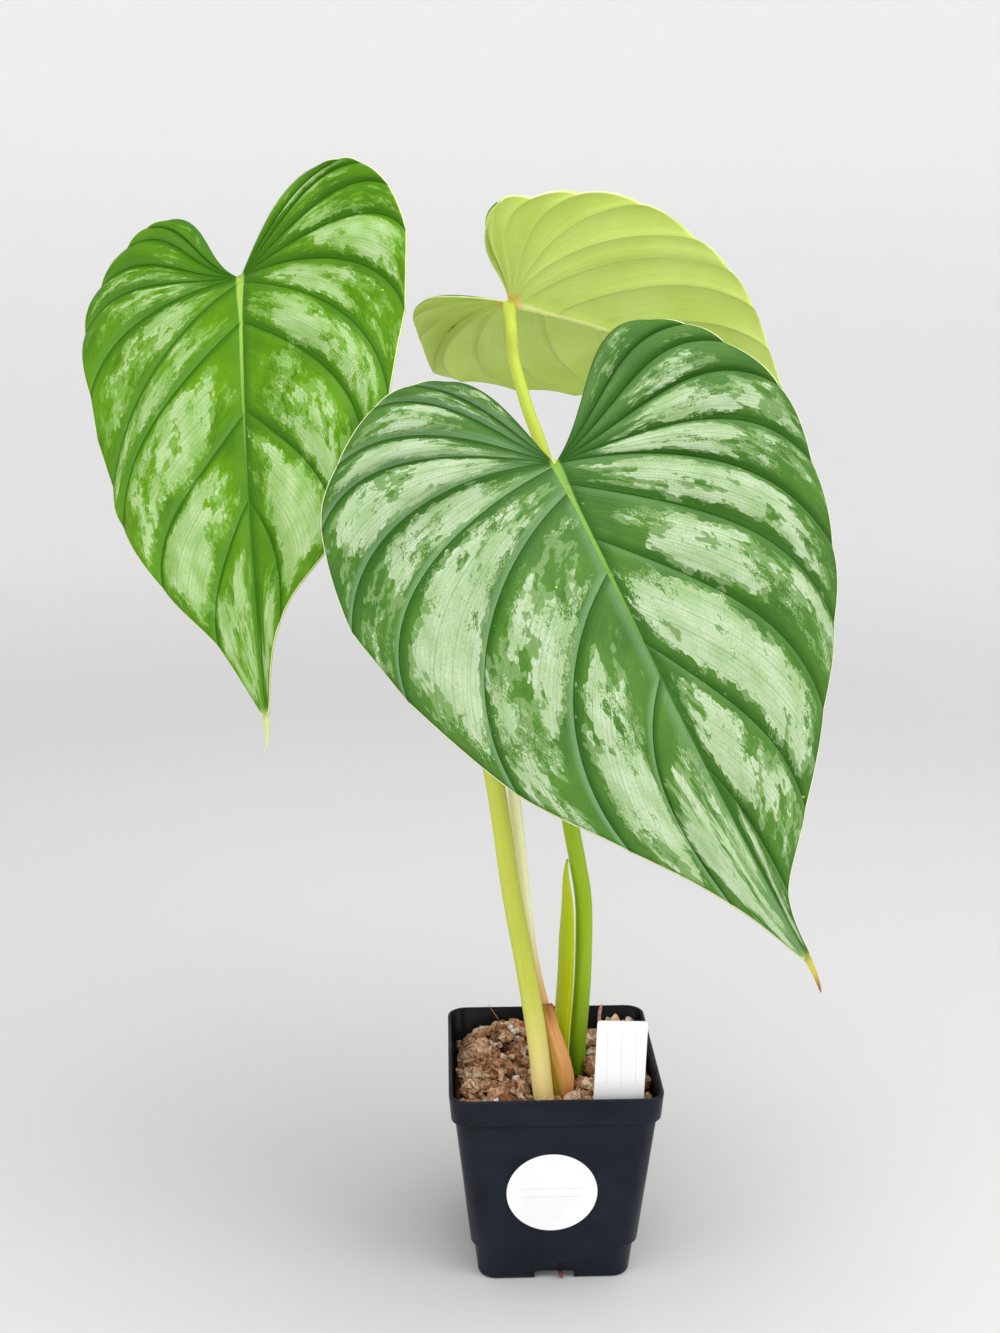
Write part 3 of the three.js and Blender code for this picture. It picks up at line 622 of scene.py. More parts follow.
def leaf_under(name, tones, amount):
    """tones: skin, paler skin, vein, midrib, junction with the stem. amount: how far the silver shows."""
    skin, paler, vein_tone, rib_tone, junction = tones

    def build(nodes):
        charts = {label: nodes.uv(label.lower()) for label in LEAF_CHARTS}
        net = nodes.use(NETWORK, charts)
        broad = nodes.noise(charts["Flat"], (2.4, 2.4, 0), 3.0)
        ghost = nodes.use(SILVER, {"Veins": charts["Veins"], "Seed": 4.0, "Amount": -0.1, "Softness": 0.3})
        away = nodes.length(charts["Flat"]) * CHART
        # The vein tone also paints shade on one side of each pleat
        tone = nodes.paint(
            skin, (broad.rise(0.34, 0.68), paler), (ghost["Silver"] * amount, paler),
            (net["Fine"] * 0.1, vein_tone), (net["Deep"] * 0.35, vein_tone), (net["Line"] * 0.3, rib_tone),
            (net["Rib"] * 0.9, rib_tone), (away.fall(2.5, 8.0, 0.7), junction), (net["Edge"], rib_tone))
        return tone, 0.5, 0.35, net["Fine"] * 0.09 + broad * 0.1, 0.7

    return finish(name, build)


# In each leaf's tones, the first is the painted shade and the second the painted sheen on the pleats' sides
UPPER = {
    "left": leaf_upper("fresh_marbled_leaf",
                       ("2f6200", "56882c", "3c6c02", "6c9e0a", "4c7c08", "98bc50", "508a10", "eef0b4"),
                       ("b2ca94", "88ae5e"), 7.0, -0.24, 0.3, 0.02, 0.12, 191, ("cfd98a", "e6dcb4")),
    "front": leaf_upper("deep_marbled_leaf",
                        ("225000", "76986a", "325c1a", "547f28", "42692e", "789f40", "427422", "eef0c4"),
                        ("b4c4a5", "90aa78"), 3.0, -0.16, 0.0, 0.02, 0.14, 213, ("b9b04c", "96683a")),
    "back": leaf_upper("young_marbled_leaf",
                       ("326602", "5c9440", "3e7406", "6ca01c", "44700c", "a0c058", "588c1c", "eef0b4"),
                       ("bcd4a0", "98c070"), 11.0, -0.26, 0.0, 0.03, 0.14, 148, ("c6d070", "d2c070")),
}
UNDER = {
    "left": leaf_under("leaf_underside_left", ("9dbb5c", "bcd17f", "84a548", "d3dc8c", "c5b266"), 0.5),
    "front": leaf_under("leaf_underside_front", ("8fb068", "b4cb90", "7a9c52", "ccd88c", "c5b266"), 0.6),
    "back": leaf_under("leaf_underside_back", ("c2d860", "d0e478", "a4bc48", "ecf09c", "e0ac54"), 0.22),
}
LEAF_RIM = finish("leaf_margin", lambda nodes: (
    nodes.mottle(nodes.place(), ("dbe3a0", "b9cc68"), 60.0), 0.5, 0.5))


# Leaves

def blade_half(leaf, side):
    """The flat places of one half of a blade: place(numbers, out) gives along and out, for each vein
    number and each share of the way to the margin."""
    half = leaf[side]
    roots = np.array([vein[0] for vein in half["veins"]] + [leaf["tip"]], float)
    ends = np.array([vein[1:] for vein in half["veins"]] + [(leaf["tip"], 1.4)], float)
    last = len(ends) - 1
    numbers = np.arange(last + 1)

    def margin(number):
        at = np.clip(number, 0, last)
        low = np.minimum(at.astype(int), last - 1)
        t = (at - low)[:, None]
        p0, p1, p2, p3 = [ends[np.clip(low + step, 0, last)] for step in (-1, 0, 1, 2)]
        leave, arrive = (p2 - p0) / 2, (p3 - p1) / 2
        return ((2 * p1 - 2 * p2 + leave + arrive) * t ** 3
                + (3 * (p2 - p1) - 2 * leave - arrive) * t ** 2 + leave * t + p1)

    def place(number, out):
        root = np.stack([np.interp(number, numbers, roots), np.zeros_like(number)], axis=-1)
        end = margin(number)
        step = margin(number + 1e-3) - margin(number - 1e-3)
        near = np.minimum(1, np.minimum(number, last - number))
        arriving = np.arctan2(step[:, 1], step[:, 0]) + VEIN_TO_MARGIN * DEG * near
        basal = half["sinus"] + (90 + half["skew"] - half["sinus"]) * number / BASAL_VEINS
        later = np.interp(number - BASAL_VEINS, range(6), VEIN_ANGLES) + half["skew"]
        leaving = np.where(number < BASAL_VEINS, basal, later) * DEG
        reach = VEIN_REACH * np.linalg.norm(end - root, axis=1)[:, None]
        first = root + reach * np.stack([np.cos(leaving), np.sin(leaving)], axis=-1)
        second = end - reach * np.stack([np.cos(arriving), np.sin(arriving)], axis=-1)
        t = out[None, :, None]
        root, first, second, end = [p[:, None, :] for p in (root, first, second, end)]
        return ((1 - t) ** 3 * root + 3 * (1 - t) ** 2 * t * first
                + 3 * (1 - t) * t ** 2 * second + t ** 3 * end)

    return roots, last, place


def blade_surface(leaf):
    """The curled surface of a blade: surface(side, along, out, off) gives points from flat places."""
    lobes, base, tip_bend = leaf["bend"]
    tip = leaf["tip"]
    step = 0.5
    table = np.arange(-80, 280 + step, step)
    middle = table[:-1] + step / 2
    bent = np.clip(middle, 0, tip)
    turned = np.where(middle < 0, lobes * middle,
                      base * bent + (tip_bend - base) * bent ** 2 / (2 * tip) + tip_bend * (middle - bent))
    turned = turned * DEG / 100
    forward = np.concatenate([[0], np.cumsum(np.cos(turned) * step)])
    down = np.concatenate([[0], np.cumsum(-np.sin(turned) * step)])
    forward -= np.interp(0, table, forward)
    down -= np.interp(0, table, down)

    def surface(side, x, out, off):
        half = leaf[side]
        start = (half["fold"] + leaf["fold_tip"] * np.clip(x / tip, 0, 1)) * DEG
        arch = half["arch"] * DEG / 100
        angle = start - arch * out
        reach = (np.sin(start) - np.sin(angle)) / arch - off * np.sin(angle)
        rise = (np.cos(angle) - np.cos(start)) / arch + off * np.cos(angle)
        slope = np.interp(x, middle, turned)
        return np.stack([np.interp(x, table, forward) + rise * np.sin(slope),
                         reach if side == "right" else -reach,
                         np.interp(x, table, down) + rise * np.cos(slope)], axis=-1)

    return surface


def leaf_turn(leaf):
    return Euler([leaf[key] * DEG for key in ("roll", "droop", "heading")], "XYZ").to_matrix()


def make_leaf(name):
    leaf = LEAVES[name]
    tip, (tail_end, drop, aside) = leaf["tip"], leaf["tail"]
    surface = blade_surface(leaf)
    out = np.linspace(0, 1, BLADE["columns"] + 1) ** 1.25
    halves = {side: blade_half(leaf, side) for side in ("left", "right")}
    fan = np.linspace(0, BASAL_VEINS, BASAL_VEINS * BLADE["fan_rows"] + 1)
    stations = np.unique(np.concatenate([halves[side][0] for side in halves]))
    spine = np.concatenate([np.linspace(a, b, math.ceil((b - a) / BLADE["row_step"]) + 1)[1:]
                            for a, b in zip(stations[:-1], stations[1:])])
    tail_share = np.linspace(0, 1, BLADE["tail_rows"] + 1)[1:]

    upper, lower, vein_charts, reach_charts, flat_charts = [], [], [], [], []
    for side, (roots, last, place) in halves.items():
        number = np.concatenate([fan, np.interp(spine, roots[BASAL_VEINS:], range(BASAL_VEINS, last + 1))])
        flat = place(number, out)
        ahead, behind = np.minimum(number + 0.02, last), np.maximum(number - 0.02, 0)
        spacing = np.linalg.norm(place(ahead, out) - place(behind, out), axis=-1)
        spacing /= (ahead - behind)[:, None]
        length = np.linalg.norm(np.diff(flat, axis=1), axis=-1)
        from_root = np.concatenate([np.zeros((len(number), 1)), np.cumsum(length, axis=1)], axis=1)
        to_margin = from_root[:, -1:] - from_root
        x, y = flat[..., 0], flat[..., 1]

        ridge = np.abs(np.sin(np.pi * number)) ** PLEAT["sharpness"] - PLEAT["sunk"]
        risen = smoothstep(out, 0, PLEAT["full_at"]) * (1 - 0.5 * out ** 3)
        risen = risen * (0.25 + 0.75 * smoothstep(spacing, 3, PLEAT["full_spacing"]))
        pleat = PLEAT["height"] * ridge[:, None] * risen * smoothstep(tip - x, 0, PLEAT["tip_fade"])
        from_vein = np.abs(number - np.round(number))[:, None] * spacing
        vein_fade = smoothstep(tip - x, 0, VEIN_FADE["tip"]) * smoothstep(to_margin, 0, VEIN_FADE["margin"])
        groove, bead = swell(from_vein, *GROOVE) * vein_fade, swell(from_vein, *BEAD) * vein_fade
        from_rib = np.where(x > 0, y, np.hypot(x, y))
        rib_depth = MIDRIB["foot"] + (MIDRIB["end"] - MIDRIB["foot"]) * np.clip(x / tail_end, 0, 1)
        rib = rib_depth * np.clip(1 - (from_rib / MIDRIB["half"]) ** 2, 0, 1) ** 1.5
        trough = swell(from_rib, *TROUGH) * smoothstep(tip - x, 0, PLEAT["tip_fade"])
        thick = BLADE["thick"] / 2
        top = surface(side, x, y, pleat + thick - groove - trough)
        bottom = surface(side, x, y, pleat - thick - bead - rib)

        tail_x = (tip + (tail_end - tip) * tail_share)[:, None] + np.zeros_like(out)
        narrow = TAIL["foot"] * (1 - tail_share) ** 0.7 + TAIL["end"] * tail_share
        tail_y = narrow[:, None] * out
        tail_thick = (thick * (1 - 0.3 * tail_share))[:, None] * np.sqrt(1.05 - out ** 2)
        keel = TAIL["keel"] * (1 - tail_share[:, None]) * (1 - out)
        tail_top = surface(side, tail_x, tail_y, tail_thick)
        tail_bottom = surface(side, tail_x, tail_y, -tail_thick - keel)
        for points in (tail_top, tail_bottom):
            points[..., 1] += (aside * tail_share ** 2)[:, None]
            points[..., 2] -= (drop * tail_share ** 2)[:, None]

        sign = 1 if side == "right" else -1
        numbers = np.concatenate([number, np.full(len(tail_share), float(last))])[:, None]
        numbers = numbers + np.zeros_like(out)
        pad = np.zeros_like(tail_x)
        vein_charts.append(np.stack([sign * numbers, out + np.zeros_like(numbers)], axis=-1))
        reach = [np.vstack([spacing, pad + 1]), np.vstack([to_margin, pad + 50])]
        reach_charts.append(np.stack(reach, axis=-1) / CHART)
        flat_charts.append(np.stack([np.vstack([x, tail_x]), sign * np.vstack([y, tail_y])], axis=-1) / CHART)
        upper.append(np.concatenate([top, tail_top]))
        lower.append(np.concatenate([bottom, tail_bottom]))

    def across(parts):
        """Left and right halves as one grid, the left one's columns running in to the midrib."""
        return np.concatenate([parts[0][:, ::-1], parts[1][:, 1:]], axis=1)

    def chart(parts):
        columns = BLADE["columns"]
        left, right = across(parts), across(parts)
        left[:, columns] = parts[0][:, 0]
        right[:, columns] = parts[1][:, 0]
        return np.stack([left, right])

    def placed(parts):
        return across(parts) @ np.array(leaf_turn(leaf)).T + np.array(leaf["petiole_point"])

    charts = {"veins": chart(vein_charts), "reach": chart(reach_charts), "flat": chart(flat_charts)}
    bm = blank(*charts)
    closed_sheet(bm, placed(upper), placed(lower), charts, 2, 1)
    finished(bm, "leaf_" + name, [UPPER[name], UNDER[name], LEAF_RIM], ["blade_" + name])


for leaf_name in LEAVES:
    make_leaf(leaf_name)


# Stems

def stem_finish(name, tones, low, high, streak=0.35):
    """tones: foot, middle, top and specks. The first three blend between the heights in low and in high."""
    foot, middle, top, speck = tones

    def build(nodes):
        skin = nodes.uv("skin")
        streaks = nodes.use(STREAKS, {"Skin": skin})
        height = nodes.split(skin)[1] * CHART
        tone = nodes.paint(foot, (height.rise(*low), middle), (height.rise(*high), top))
        dark = nodes.mix(1.0, tone, (0.72, 0.74, 0.55, 1.0), "MULTIPLY")
        pale = nodes.mix(0.35, tone, (0.86, 0.86, 0.55, 1.0))
        tone = nodes.paint(
            tone, (streaks["Broad"].rise(0.4, 0.75, streak), dark),
            (streaks["Fine"].rise(0.5, 0.8, streak), pale), (streaks["Specks"] * 0.5, speck))
        return tone, streaks["Broad"].fade(0.3, 0.7, 0.36, 0.48), 0.28, streaks["Fine"] * 0.22, 0.6

    return finish(name, build)


STEMS = {
    "left": stem_finish("stem_yellow_green", ("f2da92", "c4ca4c", "a2ba38", "8c6a2c"), (8, 62), (240, 400)),
    "front": stem_finish("stem_cream", ("e0a468", "fbf8c6", "c8d66c", "b09a50"), (40, 92), (150, 260), 0.2),
    "back": stem_finish("stem_green", ("628a00", "94b402", "dcea5c", "4a6a10"), (5, 60), (110, 250)),
}


def petiole_path(name):
    leaf, petiole = LEAVES[name], PETIOLES[name]
    up = np.array(leaf_turn(leaf) @ Vector((0, 0, 1)))
    top = np.array(leaf["petiole_point"], float)
    under = BLADE["thick"] / 2 + PETIOLE_END["under_blade"] + PETIOLE_END["gap"]
    return [*petiole["path"], top - up * (under + petiole["approach"]), top - up * under]


def make_petiole(name):
    curve, distance = smooth_path(petiole_path(name))
    final = curve[-1] - curve[-2]
    curve = np.vstack([curve, curve[-1] + final / np.linalg.norm(final) * PETIOLE_END["into_blade"]])
    distance = np.append(distance, distance[-1] + PETIOLE_END["into_blade"])
    total = distance[-1]
    rows, columns = PETIOLE_GRID
    at = np.linspace(0, total, rows + 1)
    radii = PETIOLES[name]["radii"]
    radius = np.interp(at / total * (len(radii) - 1), range(len(radii)), radii)
    radius = radius + swell(total - at, *PETIOLE_END["collar"])
    angle = np.linspace(0, 2 * math.pi, columns + 1)
    groove = swell(angle - math.pi * 0.55, 0.09, 0.35)
    flute = 0.008 * np.sin(angle * 9)
    size = (1 - groove + flute)[None, :] * radius[:, None]
    bm = blank("skin")
    add_tube(bm, tube_points(curve, distance, at, size, columns),
             {"skin": plain_chart(rows, columns, total / 100)})
    close_ends(bm)
    finished(bm, "stem_" + name, [STEMS[name]], ["petiole_" + name])


for stem_name in PETIOLES:
    make_petiole(stem_name)


# Sheaths

def sheath_finish(name, tones, edge, edge_width, rough, relief):
    """tones: foot, middle, tip and streaks. edge: the colour of the left edge, over a share of the wrap."""
    foot, middle, tip, streak = tones

    def build(nodes):
        skin = nodes.uv("skin")
        streaks = nodes.use(STREAKS, {"Skin": skin})
        across, height, _ = nodes.split(skin)
        first = across.fall(0.0, 0.06, 0.8)
        last = across.rise(1.0 - edge_width, 1.0 - edge_width * 0.6, 0.85)
        tone = nodes.paint(
            foot, (height.rise(0.0, 0.45), middle), (height.rise(0.72, 1.0), tip),
            (streaks["Fine"].rise(0.45, 0.75, 0.6), streak), (streaks["Broad"].rise(0.35, 0.7, 0.45), middle),
            (nodes.math("MAXIMUM", first, last), edge))
        return tone, rough, 0.25, streaks["Fine"] * relief, 0.9

    return finish(name, build)


SHEATH_FINISHES = {
    "brown": sheath_finish("dry_sheath", ("d4853a", "e8a868", "8f4e16", "c47a48"), "b29c18", 0.44, 0.45, 0.4),
    "green": sheath_finish("fresh_sheath", ("a2b400", "b4c400", "c0d020", "9cb000"), "d6e24c", 0.07, 0.34,
                           0.15),
}


def make_sheath(name):
    sheath = SHEATHS[name]
    curve, distance = smooth_path(petiole_path(sheath["around"]))
    rows, columns = SHEATH_GRID
    t = np.linspace(0, 1, rows + 1)
    centre = along(curve, distance, t * sheath["length"])
    foot_aside, tip_aside = sheath["aside"]
    centre[:, 0] -= foot_aside + (tip_aside - foot_aside) * t ** SHEATH_CHANGE
    centre[:, 2] += SHEATH_LIFT
    radii = sheath["radii"]
    radius = np.interp(t * (len(radii) - 1), range(len(radii)), radii)
    narrowing = np.sqrt(np.clip(1 - t ** sheath["taper"], 0.01, 1))
    share = np.linspace(1, -1, columns + 1)
    middle = sheath["facing"] + sheath["lean"] * sheath["half_wrap"] * (1 - narrowing[:, None])
    angle = (middle + sheath["half_wrap"] * narrowing[:, None] * share) * DEG
    ripple = np.array([[noise.noise(Vector((s * 7, k * 3.1, 2.0))) for s in share] for k in t])
    curl = smoothstep(np.abs(share), 0.8, 1.0)[None, :] * 0.3 * (1 - t[:, None] ** 2)
    faces = []
    for side in (1, -1):
        thick = sheath["thick"] / 2 * np.sqrt(1.02 - share ** 4)
        out = radius[:, None] + ripple * sheath["crinkle"] + curl + side * thick
        faces.append(np.stack([centre[:, None, 0] + out * np.cos(angle),
                               centre[:, None, 1] + out * np.sin(angle),
                               centre[:, None, 2] + np.zeros_like(angle)], axis=-1))
    bm = blank("skin")
    closed_sheet(bm, *faces, {"skin": plain_chart(rows, columns)})
    finished(bm, "sheath_" + name, [SHEATH_FINISHES[name]], [name + "_sheath"])


for sheath_name in SHEATHS:
    make_sheath(sheath_name)


# Pot

def pot_finish(nodes):
    """Dark plastic, with painted shade inside the rim and in the fold under its band, and dust low down."""
    place = nodes.place()
    across, deep, height = nodes.split(place)
    band_foot, top = (POT["height"] - POT["band"]) * MM, POT["height"] * MM
    flat = (POT["rim"] / 2 - POT["corner"]) * MM
    past_flat = [nodes.math("MAXIMUM", abs(side) - flat, 0.0) for side in (across, deep)]
    first, second = [side * side for side in past_flat]
    rounding = height.fade(band_foot, top, POT["band_corner"] * MM, POT["corner"] * MM)
    from_outer = nodes.math("SQRT", first + second) - rounding
    # Painted shade: near-black on the inner wall by the rim and in the fold under the band
    in_band = height.rise(band_foot - 0.2 * MM, band_foot + 0.2 * MM)
    inside = from_outer.fall(-0.8 * MM, -0.5 * MM, 0.85) * in_band
    fold = abs(height - (band_foot - 0.4 * MM)).fall(0.4 * MM, 1.2 * MM, 0.85)
    specks = nodes.cells(place, 420.0)["Distance"]
    dust = nodes.math("LESS_THAN", specks, height.fall(0.0, POT["foot_height"] * MM, 0.07))
    tone = nodes.paint(nodes.mottle(place, ("0c111c", "151b27"), 55.0, 4.0, 0.6),
                       (inside, "010204"), (dust * 0.5, "9a9c9e"), (fold, "010204"))
    scuffs = nodes.noise(place, (260.0, 260.0, 40.0), 3.0)
    return tone, scuffs.fade(0.35, 0.75, 0.36, 0.5), 0.17, nodes.noise(place, 900.0) * 0.05, 0.6


POT_PLASTIC = finish("dark_pot_plastic", pot_finish)


def rounded_square(half, z, radius, corner_steps=8):
    """Points round a square with rounded corners, from the middle of its right side."""
    flat = half - radius
    points = [(half, 0, z)]
    for corner, (cx, cy) in enumerate(((1, 1), (-1, 1), (-1, -1), (1, -1))):
        for i in range(corner_steps + 1):
            angle = (corner + i / corner_steps) * math.pi / 2
            points.append((cx * flat + radius * math.cos(angle), cy * flat + radius * math.sin(angle), z))
    return points + [(half, 0, z)]


def cut_pot(pot, operation, size, middle, rounding):
    """Joins a box with rounded upper edges to the foot of each side wall, or cuts it out."""
    tool = bmesh.new()
    bmesh.ops.create_cube(tool, size=1)
    bmesh.ops.scale(tool, vec=size, verts=tool.verts)
    upper = [e for e in tool.edges if any(v.co.z > 0 for v in e.verts)]
    bmesh.ops.translate(tool, vec=middle, verts=tool.verts)
    bmesh.ops.bevel(tool, geom=upper, offset=rounding, segments=3, profile=0.5, affect="EDGES", material=-1)
    first = list(tool.verts) + list(tool.edges) + list(tool.faces)
    for turn in (1, 2, 3):
        copy = bmesh.ops.duplicate(tool, geom=first)["geom"]
        bmesh.ops.rotate(tool, cent=(0, 0, 0), matrix=Matrix.Rotation(turn * math.pi / 2, 3, "Z"),
                         verts=verts_of(copy))
    bmesh.ops.recalc_face_normals(tool, faces=tool.faces)
    holder = object_of(tool, "notch_tool")
    cut = pot.modifiers.new("notches", "BOOLEAN")
    cut.operation, cut.solver, cut.object = operation, "MANIFOLD", holder
    result = bpy.data.meshes.new_from_object(pot.evaluated_get(bpy.context.evaluated_depsgraph_get()))
    pot.modifiers.clear()
    pot.data = result
    bpy.data.objects.remove(holder)


def make_pot():
    foot, lower, upper, rim = [POT[key] / 2 for key in ("foot", "body_foot", "body_top", "rim")]
    corner, wall, floor = [POT[key] for key in ("corner", "wall", "floor")]
    top, step, band = POT["height"], POT["foot_height"], POT["height"] - POT["band"]
    # Up the outside: half width, height, and how much sharper the corners are
    outside = [
        (foot - 1.6, 0, -1.6), (foot - 0.8, 0.15, -0.8), (foot - 0.3, 0.6, -0.3), (foot, 1.3, 0),
        (foot + 0.1, 2.2, 0), (lower - 1.5, step - 0.3, 0), (lower - 1.3, step + 0.05, 0),
        (lower - 0.2, step + 0.7, 0), (lower, step + 1.1, 0), (upper - 0.1, band - 1.2, 0),
        (upper, band - 0.5, 0), (upper + 0.25, band - 0.15, 0), (upper + 1.2, band + 0.05, 0),
        (upper + 1.55, band + 0.35, 0), (upper + 1.62, band + 0.8, 0), (rim - 0.05, top - 1.0, 0),
        (rim, top - 0.6, 0), (rim - 0.12, top - 0.2, 0), (rim - 0.45, top, 0),
    ]
    # Down the inside: half width before the wall's thickness comes off, and height
    inside = [
        (rim, top - 0.05), (rim - 0.25, top - 0.4), (rim - 1, band + 1), (upper, band - 1),
        (lower, step + 1.6), (lower - 1.4, step + 0.6), (foot + 0.2, floor + 1.2), (foot - 1, floor),
    ]
    rings = [rounded_square(half, z, corner + change) for half, z, change in outside]
    rings += [rounded_square(half - wall, z, corner - wall) for half, z in inside]
    points = np.array(rings)
    bm = blank("skin")
    add_tube(bm, points, {"skin": plain_chart(points.shape[0] - 1, points.shape[1] - 1)})
    close_ends(bm)
    pot = finished(bm, "nursery_pot", [POT_PLASTIC], ["pot"])

    depth, width, height = [NOTCH[key] for key in ("depth", "width", "height")]
    inner, outer = foot - depth, foot - 0.4
    block = (width + 2 * wall, outer - inner + wall, height + wall - floor / 2)
    cut_pot(pot, "UNION", block, (0, -(outer + inner - wall) / 2, (height + wall + floor / 2) / 2), 0.5)
    recess = (width, depth + 4, height + 4)
    cut_pot(pot, "DIFFERENCE", recess, (0, -inner - depth / 2 - 2, height / 2 - 2), 1.2)
    cut_pot(pot, "DIFFERENCE", (*NOTCH["drain"], 4), (0, -inner - depth / 2, height + 1), 0.8)


make_pot()


# Bark substrate

def bark_finish(nodes):
    place = nodes.place()
    pick, lift_shade_and_tone, _ = nodes.split(nodes.uv("tone"))
    fibre = nodes.noise(place, (700.0, 300.0, 700.0), 3.0, 0.55)
    crumb = nodes.noise(place, 700.0, 5.0, 0.7)
    # The second tone is painted light by height for chips and a random tone for curls: low values painted
    # dark as shade, high ones pale as lit
    brown = nodes.paint(
        nodes.mix(pick, "a06438", "e0b088"), (lift_shade_and_tone.rise(0.68, 0.95, 0.85), "f2d6bc"),
        (lift_shade_and_tone.fall(0.12, 0.45, 0.9), "381a0a"), (fibre.fall(0.3, 0.7, 0.75), "42220f"))
    return brown, 0.85, 0.25, fibre * 0.5 + crumb * 0.5, 1.0


def perlite_finish(nodes):
    place = nodes.place()
    dirt = nodes.noise(place, 260.0, 3.0).rise(0.42, 0.68)
    pits = nodes.cells(place, 1400.0)["Distance"]
    return nodes.mix(dirt, "e6dcd6", "b8a090"), 0.8, 0.5, pits * 0.4, 1.0


def plain_fibre(name, dark, light):
    return finish(name, lambda nodes: (nodes.mottle(nodes.place(), (dark, light), 300.0, 3.0), 0.75, 0.5))


BARK = finish("bark_and_husk", bark_finish)
# The bed under the chips is near-black bark, a painted shade for the gaps between them
BED_SHADE = plain_fibre("damp_bark", "2a1509", "563218")
PERLITE = finish("perlite", perlite_finish)
COIR = plain_fibre("coir_fibre", "6d4526", "c79a64")
ROOT = plain_fibre("aerial_root", "b07a66", "dcb4a2")
RED_HUSK = plain_fibre("red_husk", "7e2a1c", "c4442c")


def ground(x, y):
    """The height of the bark bed: level at the front, heaped at the back left, low along the back wall."""
    height = SOIL["level"] + SOIL["crown"] * (1 - (max(abs(x), abs(y)) / SOIL["half"]) ** 4)
    for rise, at_x, at_y, wide, deep in HEAPS:
        height += rise * math.exp(-((x - at_x) ** 2 / wide + (y - at_y) ** 2 / deep))
    height -= 6.0 * smoothstep(y, 31, 40) + 5.0 * smoothstep(-x, 29, 41) * smoothstep(y, -4, 22)
    return height + 1.1 * noise.noise(Vector((x / 9, y / 9, 3.7)))


def make_bed():
    cells = SOIL["cells"]
    share = np.linspace(-1, 1, cells + 1)
    points = np.zeros((cells + 1, cells + 1, 3))
    for row, sy in enumerate(share):
        for column, sx in enumerate(share):
            squeeze = 1 - 0.13 * (abs(sx) * abs(sy)) ** 6
            x, y = sx * SOIL["half"] * squeeze, sy * SOIL["half"] * squeeze
            rough = 1.1 * noise.noise(Vector((x / 2.6, y / 2.6, 0.5)))
            points[row, column] = x, y, ground(x, y) - SOIL["under_chips"] + rough
    bm = bmesh.new()
    lay_grid(bm, points, {})
    for z, half in SOIL["skirt"]:
        skirt = [e for e in bm.edges if e.is_boundary]
        new = verts_of(bmesh.ops.extrude_edge_only(bm, edges=skirt)["geom"])
        reach = max(v.co.x for v in new)
        for v in new:
            v.co = (v.co.x * half / reach, v.co.y * half / reach, z)
    close_ends(bm)
    finished(bm, "bark_bed", [BED_SHADE], ["substrate"])


def in_pot(x, y, margin=0.0):
    """Whether a place is inside the rounded square of the pot's mouth."""
    half, corner = SOIL["half"] - margin, SOIL["corner"]
    dx, dy = max(0, abs(x) - half + corner), max(0, abs(y) - half + corner)
    return abs(x) < half and abs(y) < half and math.hypot(dx, dy) < corner


def clear_of_stems(x, y, room):
    return all(math.hypot(x - sx, y - sy) > radius + room for sx, sy, radius in STEM_FEET)


def scatter(rng, count, margin, room):
    """Seeded random places on the bark bed."""
    places = []
    while len(places) < count:
        x, y = rng.uniform(-SOIL["half"], SOIL["half"], 2)
        if in_pot(x, y, margin) and clear_of_stems(x, y, room):
            places.append((x, y))
    return places


def lump_pattern(kind):
    """A block for chips or a ball for grains, as a mesh to start each lump from."""
    bm = blank("tone")
    if kind == "chip":
        bmesh.ops.create_cube(bm, size=1)
        bmesh.ops.subdivide_edges(bm, edges=list(bm.edges), cuts=2, use_grid_fill=True)
        for v in bm.verts:
            v.co *= 1 - 0.28 * max(0, v.co.length - 0.52)
    else:
        bmesh.ops.create_icosphere(bm, subdivisions=2, radius=0.5)
    for face in bm.faces:
        face.smooth = kind != "chip"
    return mesh_of(bm, kind)


def add_lump(heap, pattern, size, place, turn, rough, seed, tone=(0.5, 0.5), walls=False):
    """Adds to a heap one rough lump, knocked out of true by noise, and kept inside the walls if asked."""
    bm = bmesh.new()
    bm.from_mesh(pattern)
    for v in bm.verts:
        shake = noise.noise_vector(v.co * 1.7 + Vector((seed, seed * 0.37, 0)))
        fine = noise.noise_vector(v.co * 4.5 + Vector((0, seed, seed * 0.11)))
        v.co += rough * shake + rough * 0.55 * fine
    matrix = Matrix.Translation(place) @ turn.to_matrix().to_4x4() @ Matrix.Diagonal((*size, 1))
    bmesh.ops.transform(bm, matrix=matrix, verts=bm.verts)
    for v in bm.verts if walls else ():
        limit = SOIL["mouth"] if v.co.z > SOIL["level"] else SOIL["neck"]
        v.co.x, v.co.y = [max(-limit, min(limit, side)) for side in v.co.xy]
    layer = bm.loops.layers.uv.active
    for face in bm.faces:
        for loop in face.loops:
            loop[layer].uv = tone
    lump = mesh_of(bm, "lump")
    heap.from_mesh(lump)
    bpy.data.meshes.remove(lump)


def make_chips():
    rng = np.random.default_rng(SEEDS["chips"])
    bm = blank("tone")
    pattern = lump_pattern("chip")
    sizes = [size for size, count in CHIPS for _ in range(count)]
    for number, base in enumerate(sizes):
        size = [s * rng.uniform(0.7, 1.3) for s in base]
        reach = max(size) / 2
        (x, y), = scatter(rng, 1, reach * 0.75, reach * 0.55)
        rise = rng.uniform(-0.5, 0.6)
        turn = Euler((rng.uniform(-0.9, 0.9), rng.uniform(-0.9, 0.9), rng.uniform(0, 6.28)))
        # Painted light by height: chips sunk low get a dark tone as shade, raised ones a pale tone as lit,
        # with a random spread
        tone = (rng.uniform(0, 1), (rise + 0.5) * 0.75 + rng.uniform(-0.05, 0.25))
        place = Vector((x, y, ground(x, y) + rise * size[2] + 0.2))
        add_lump(bm, pattern, size, place, turn, 0.3, number * 1.3, tone, True)
    finished(bm, "bark_chips", [BARK])


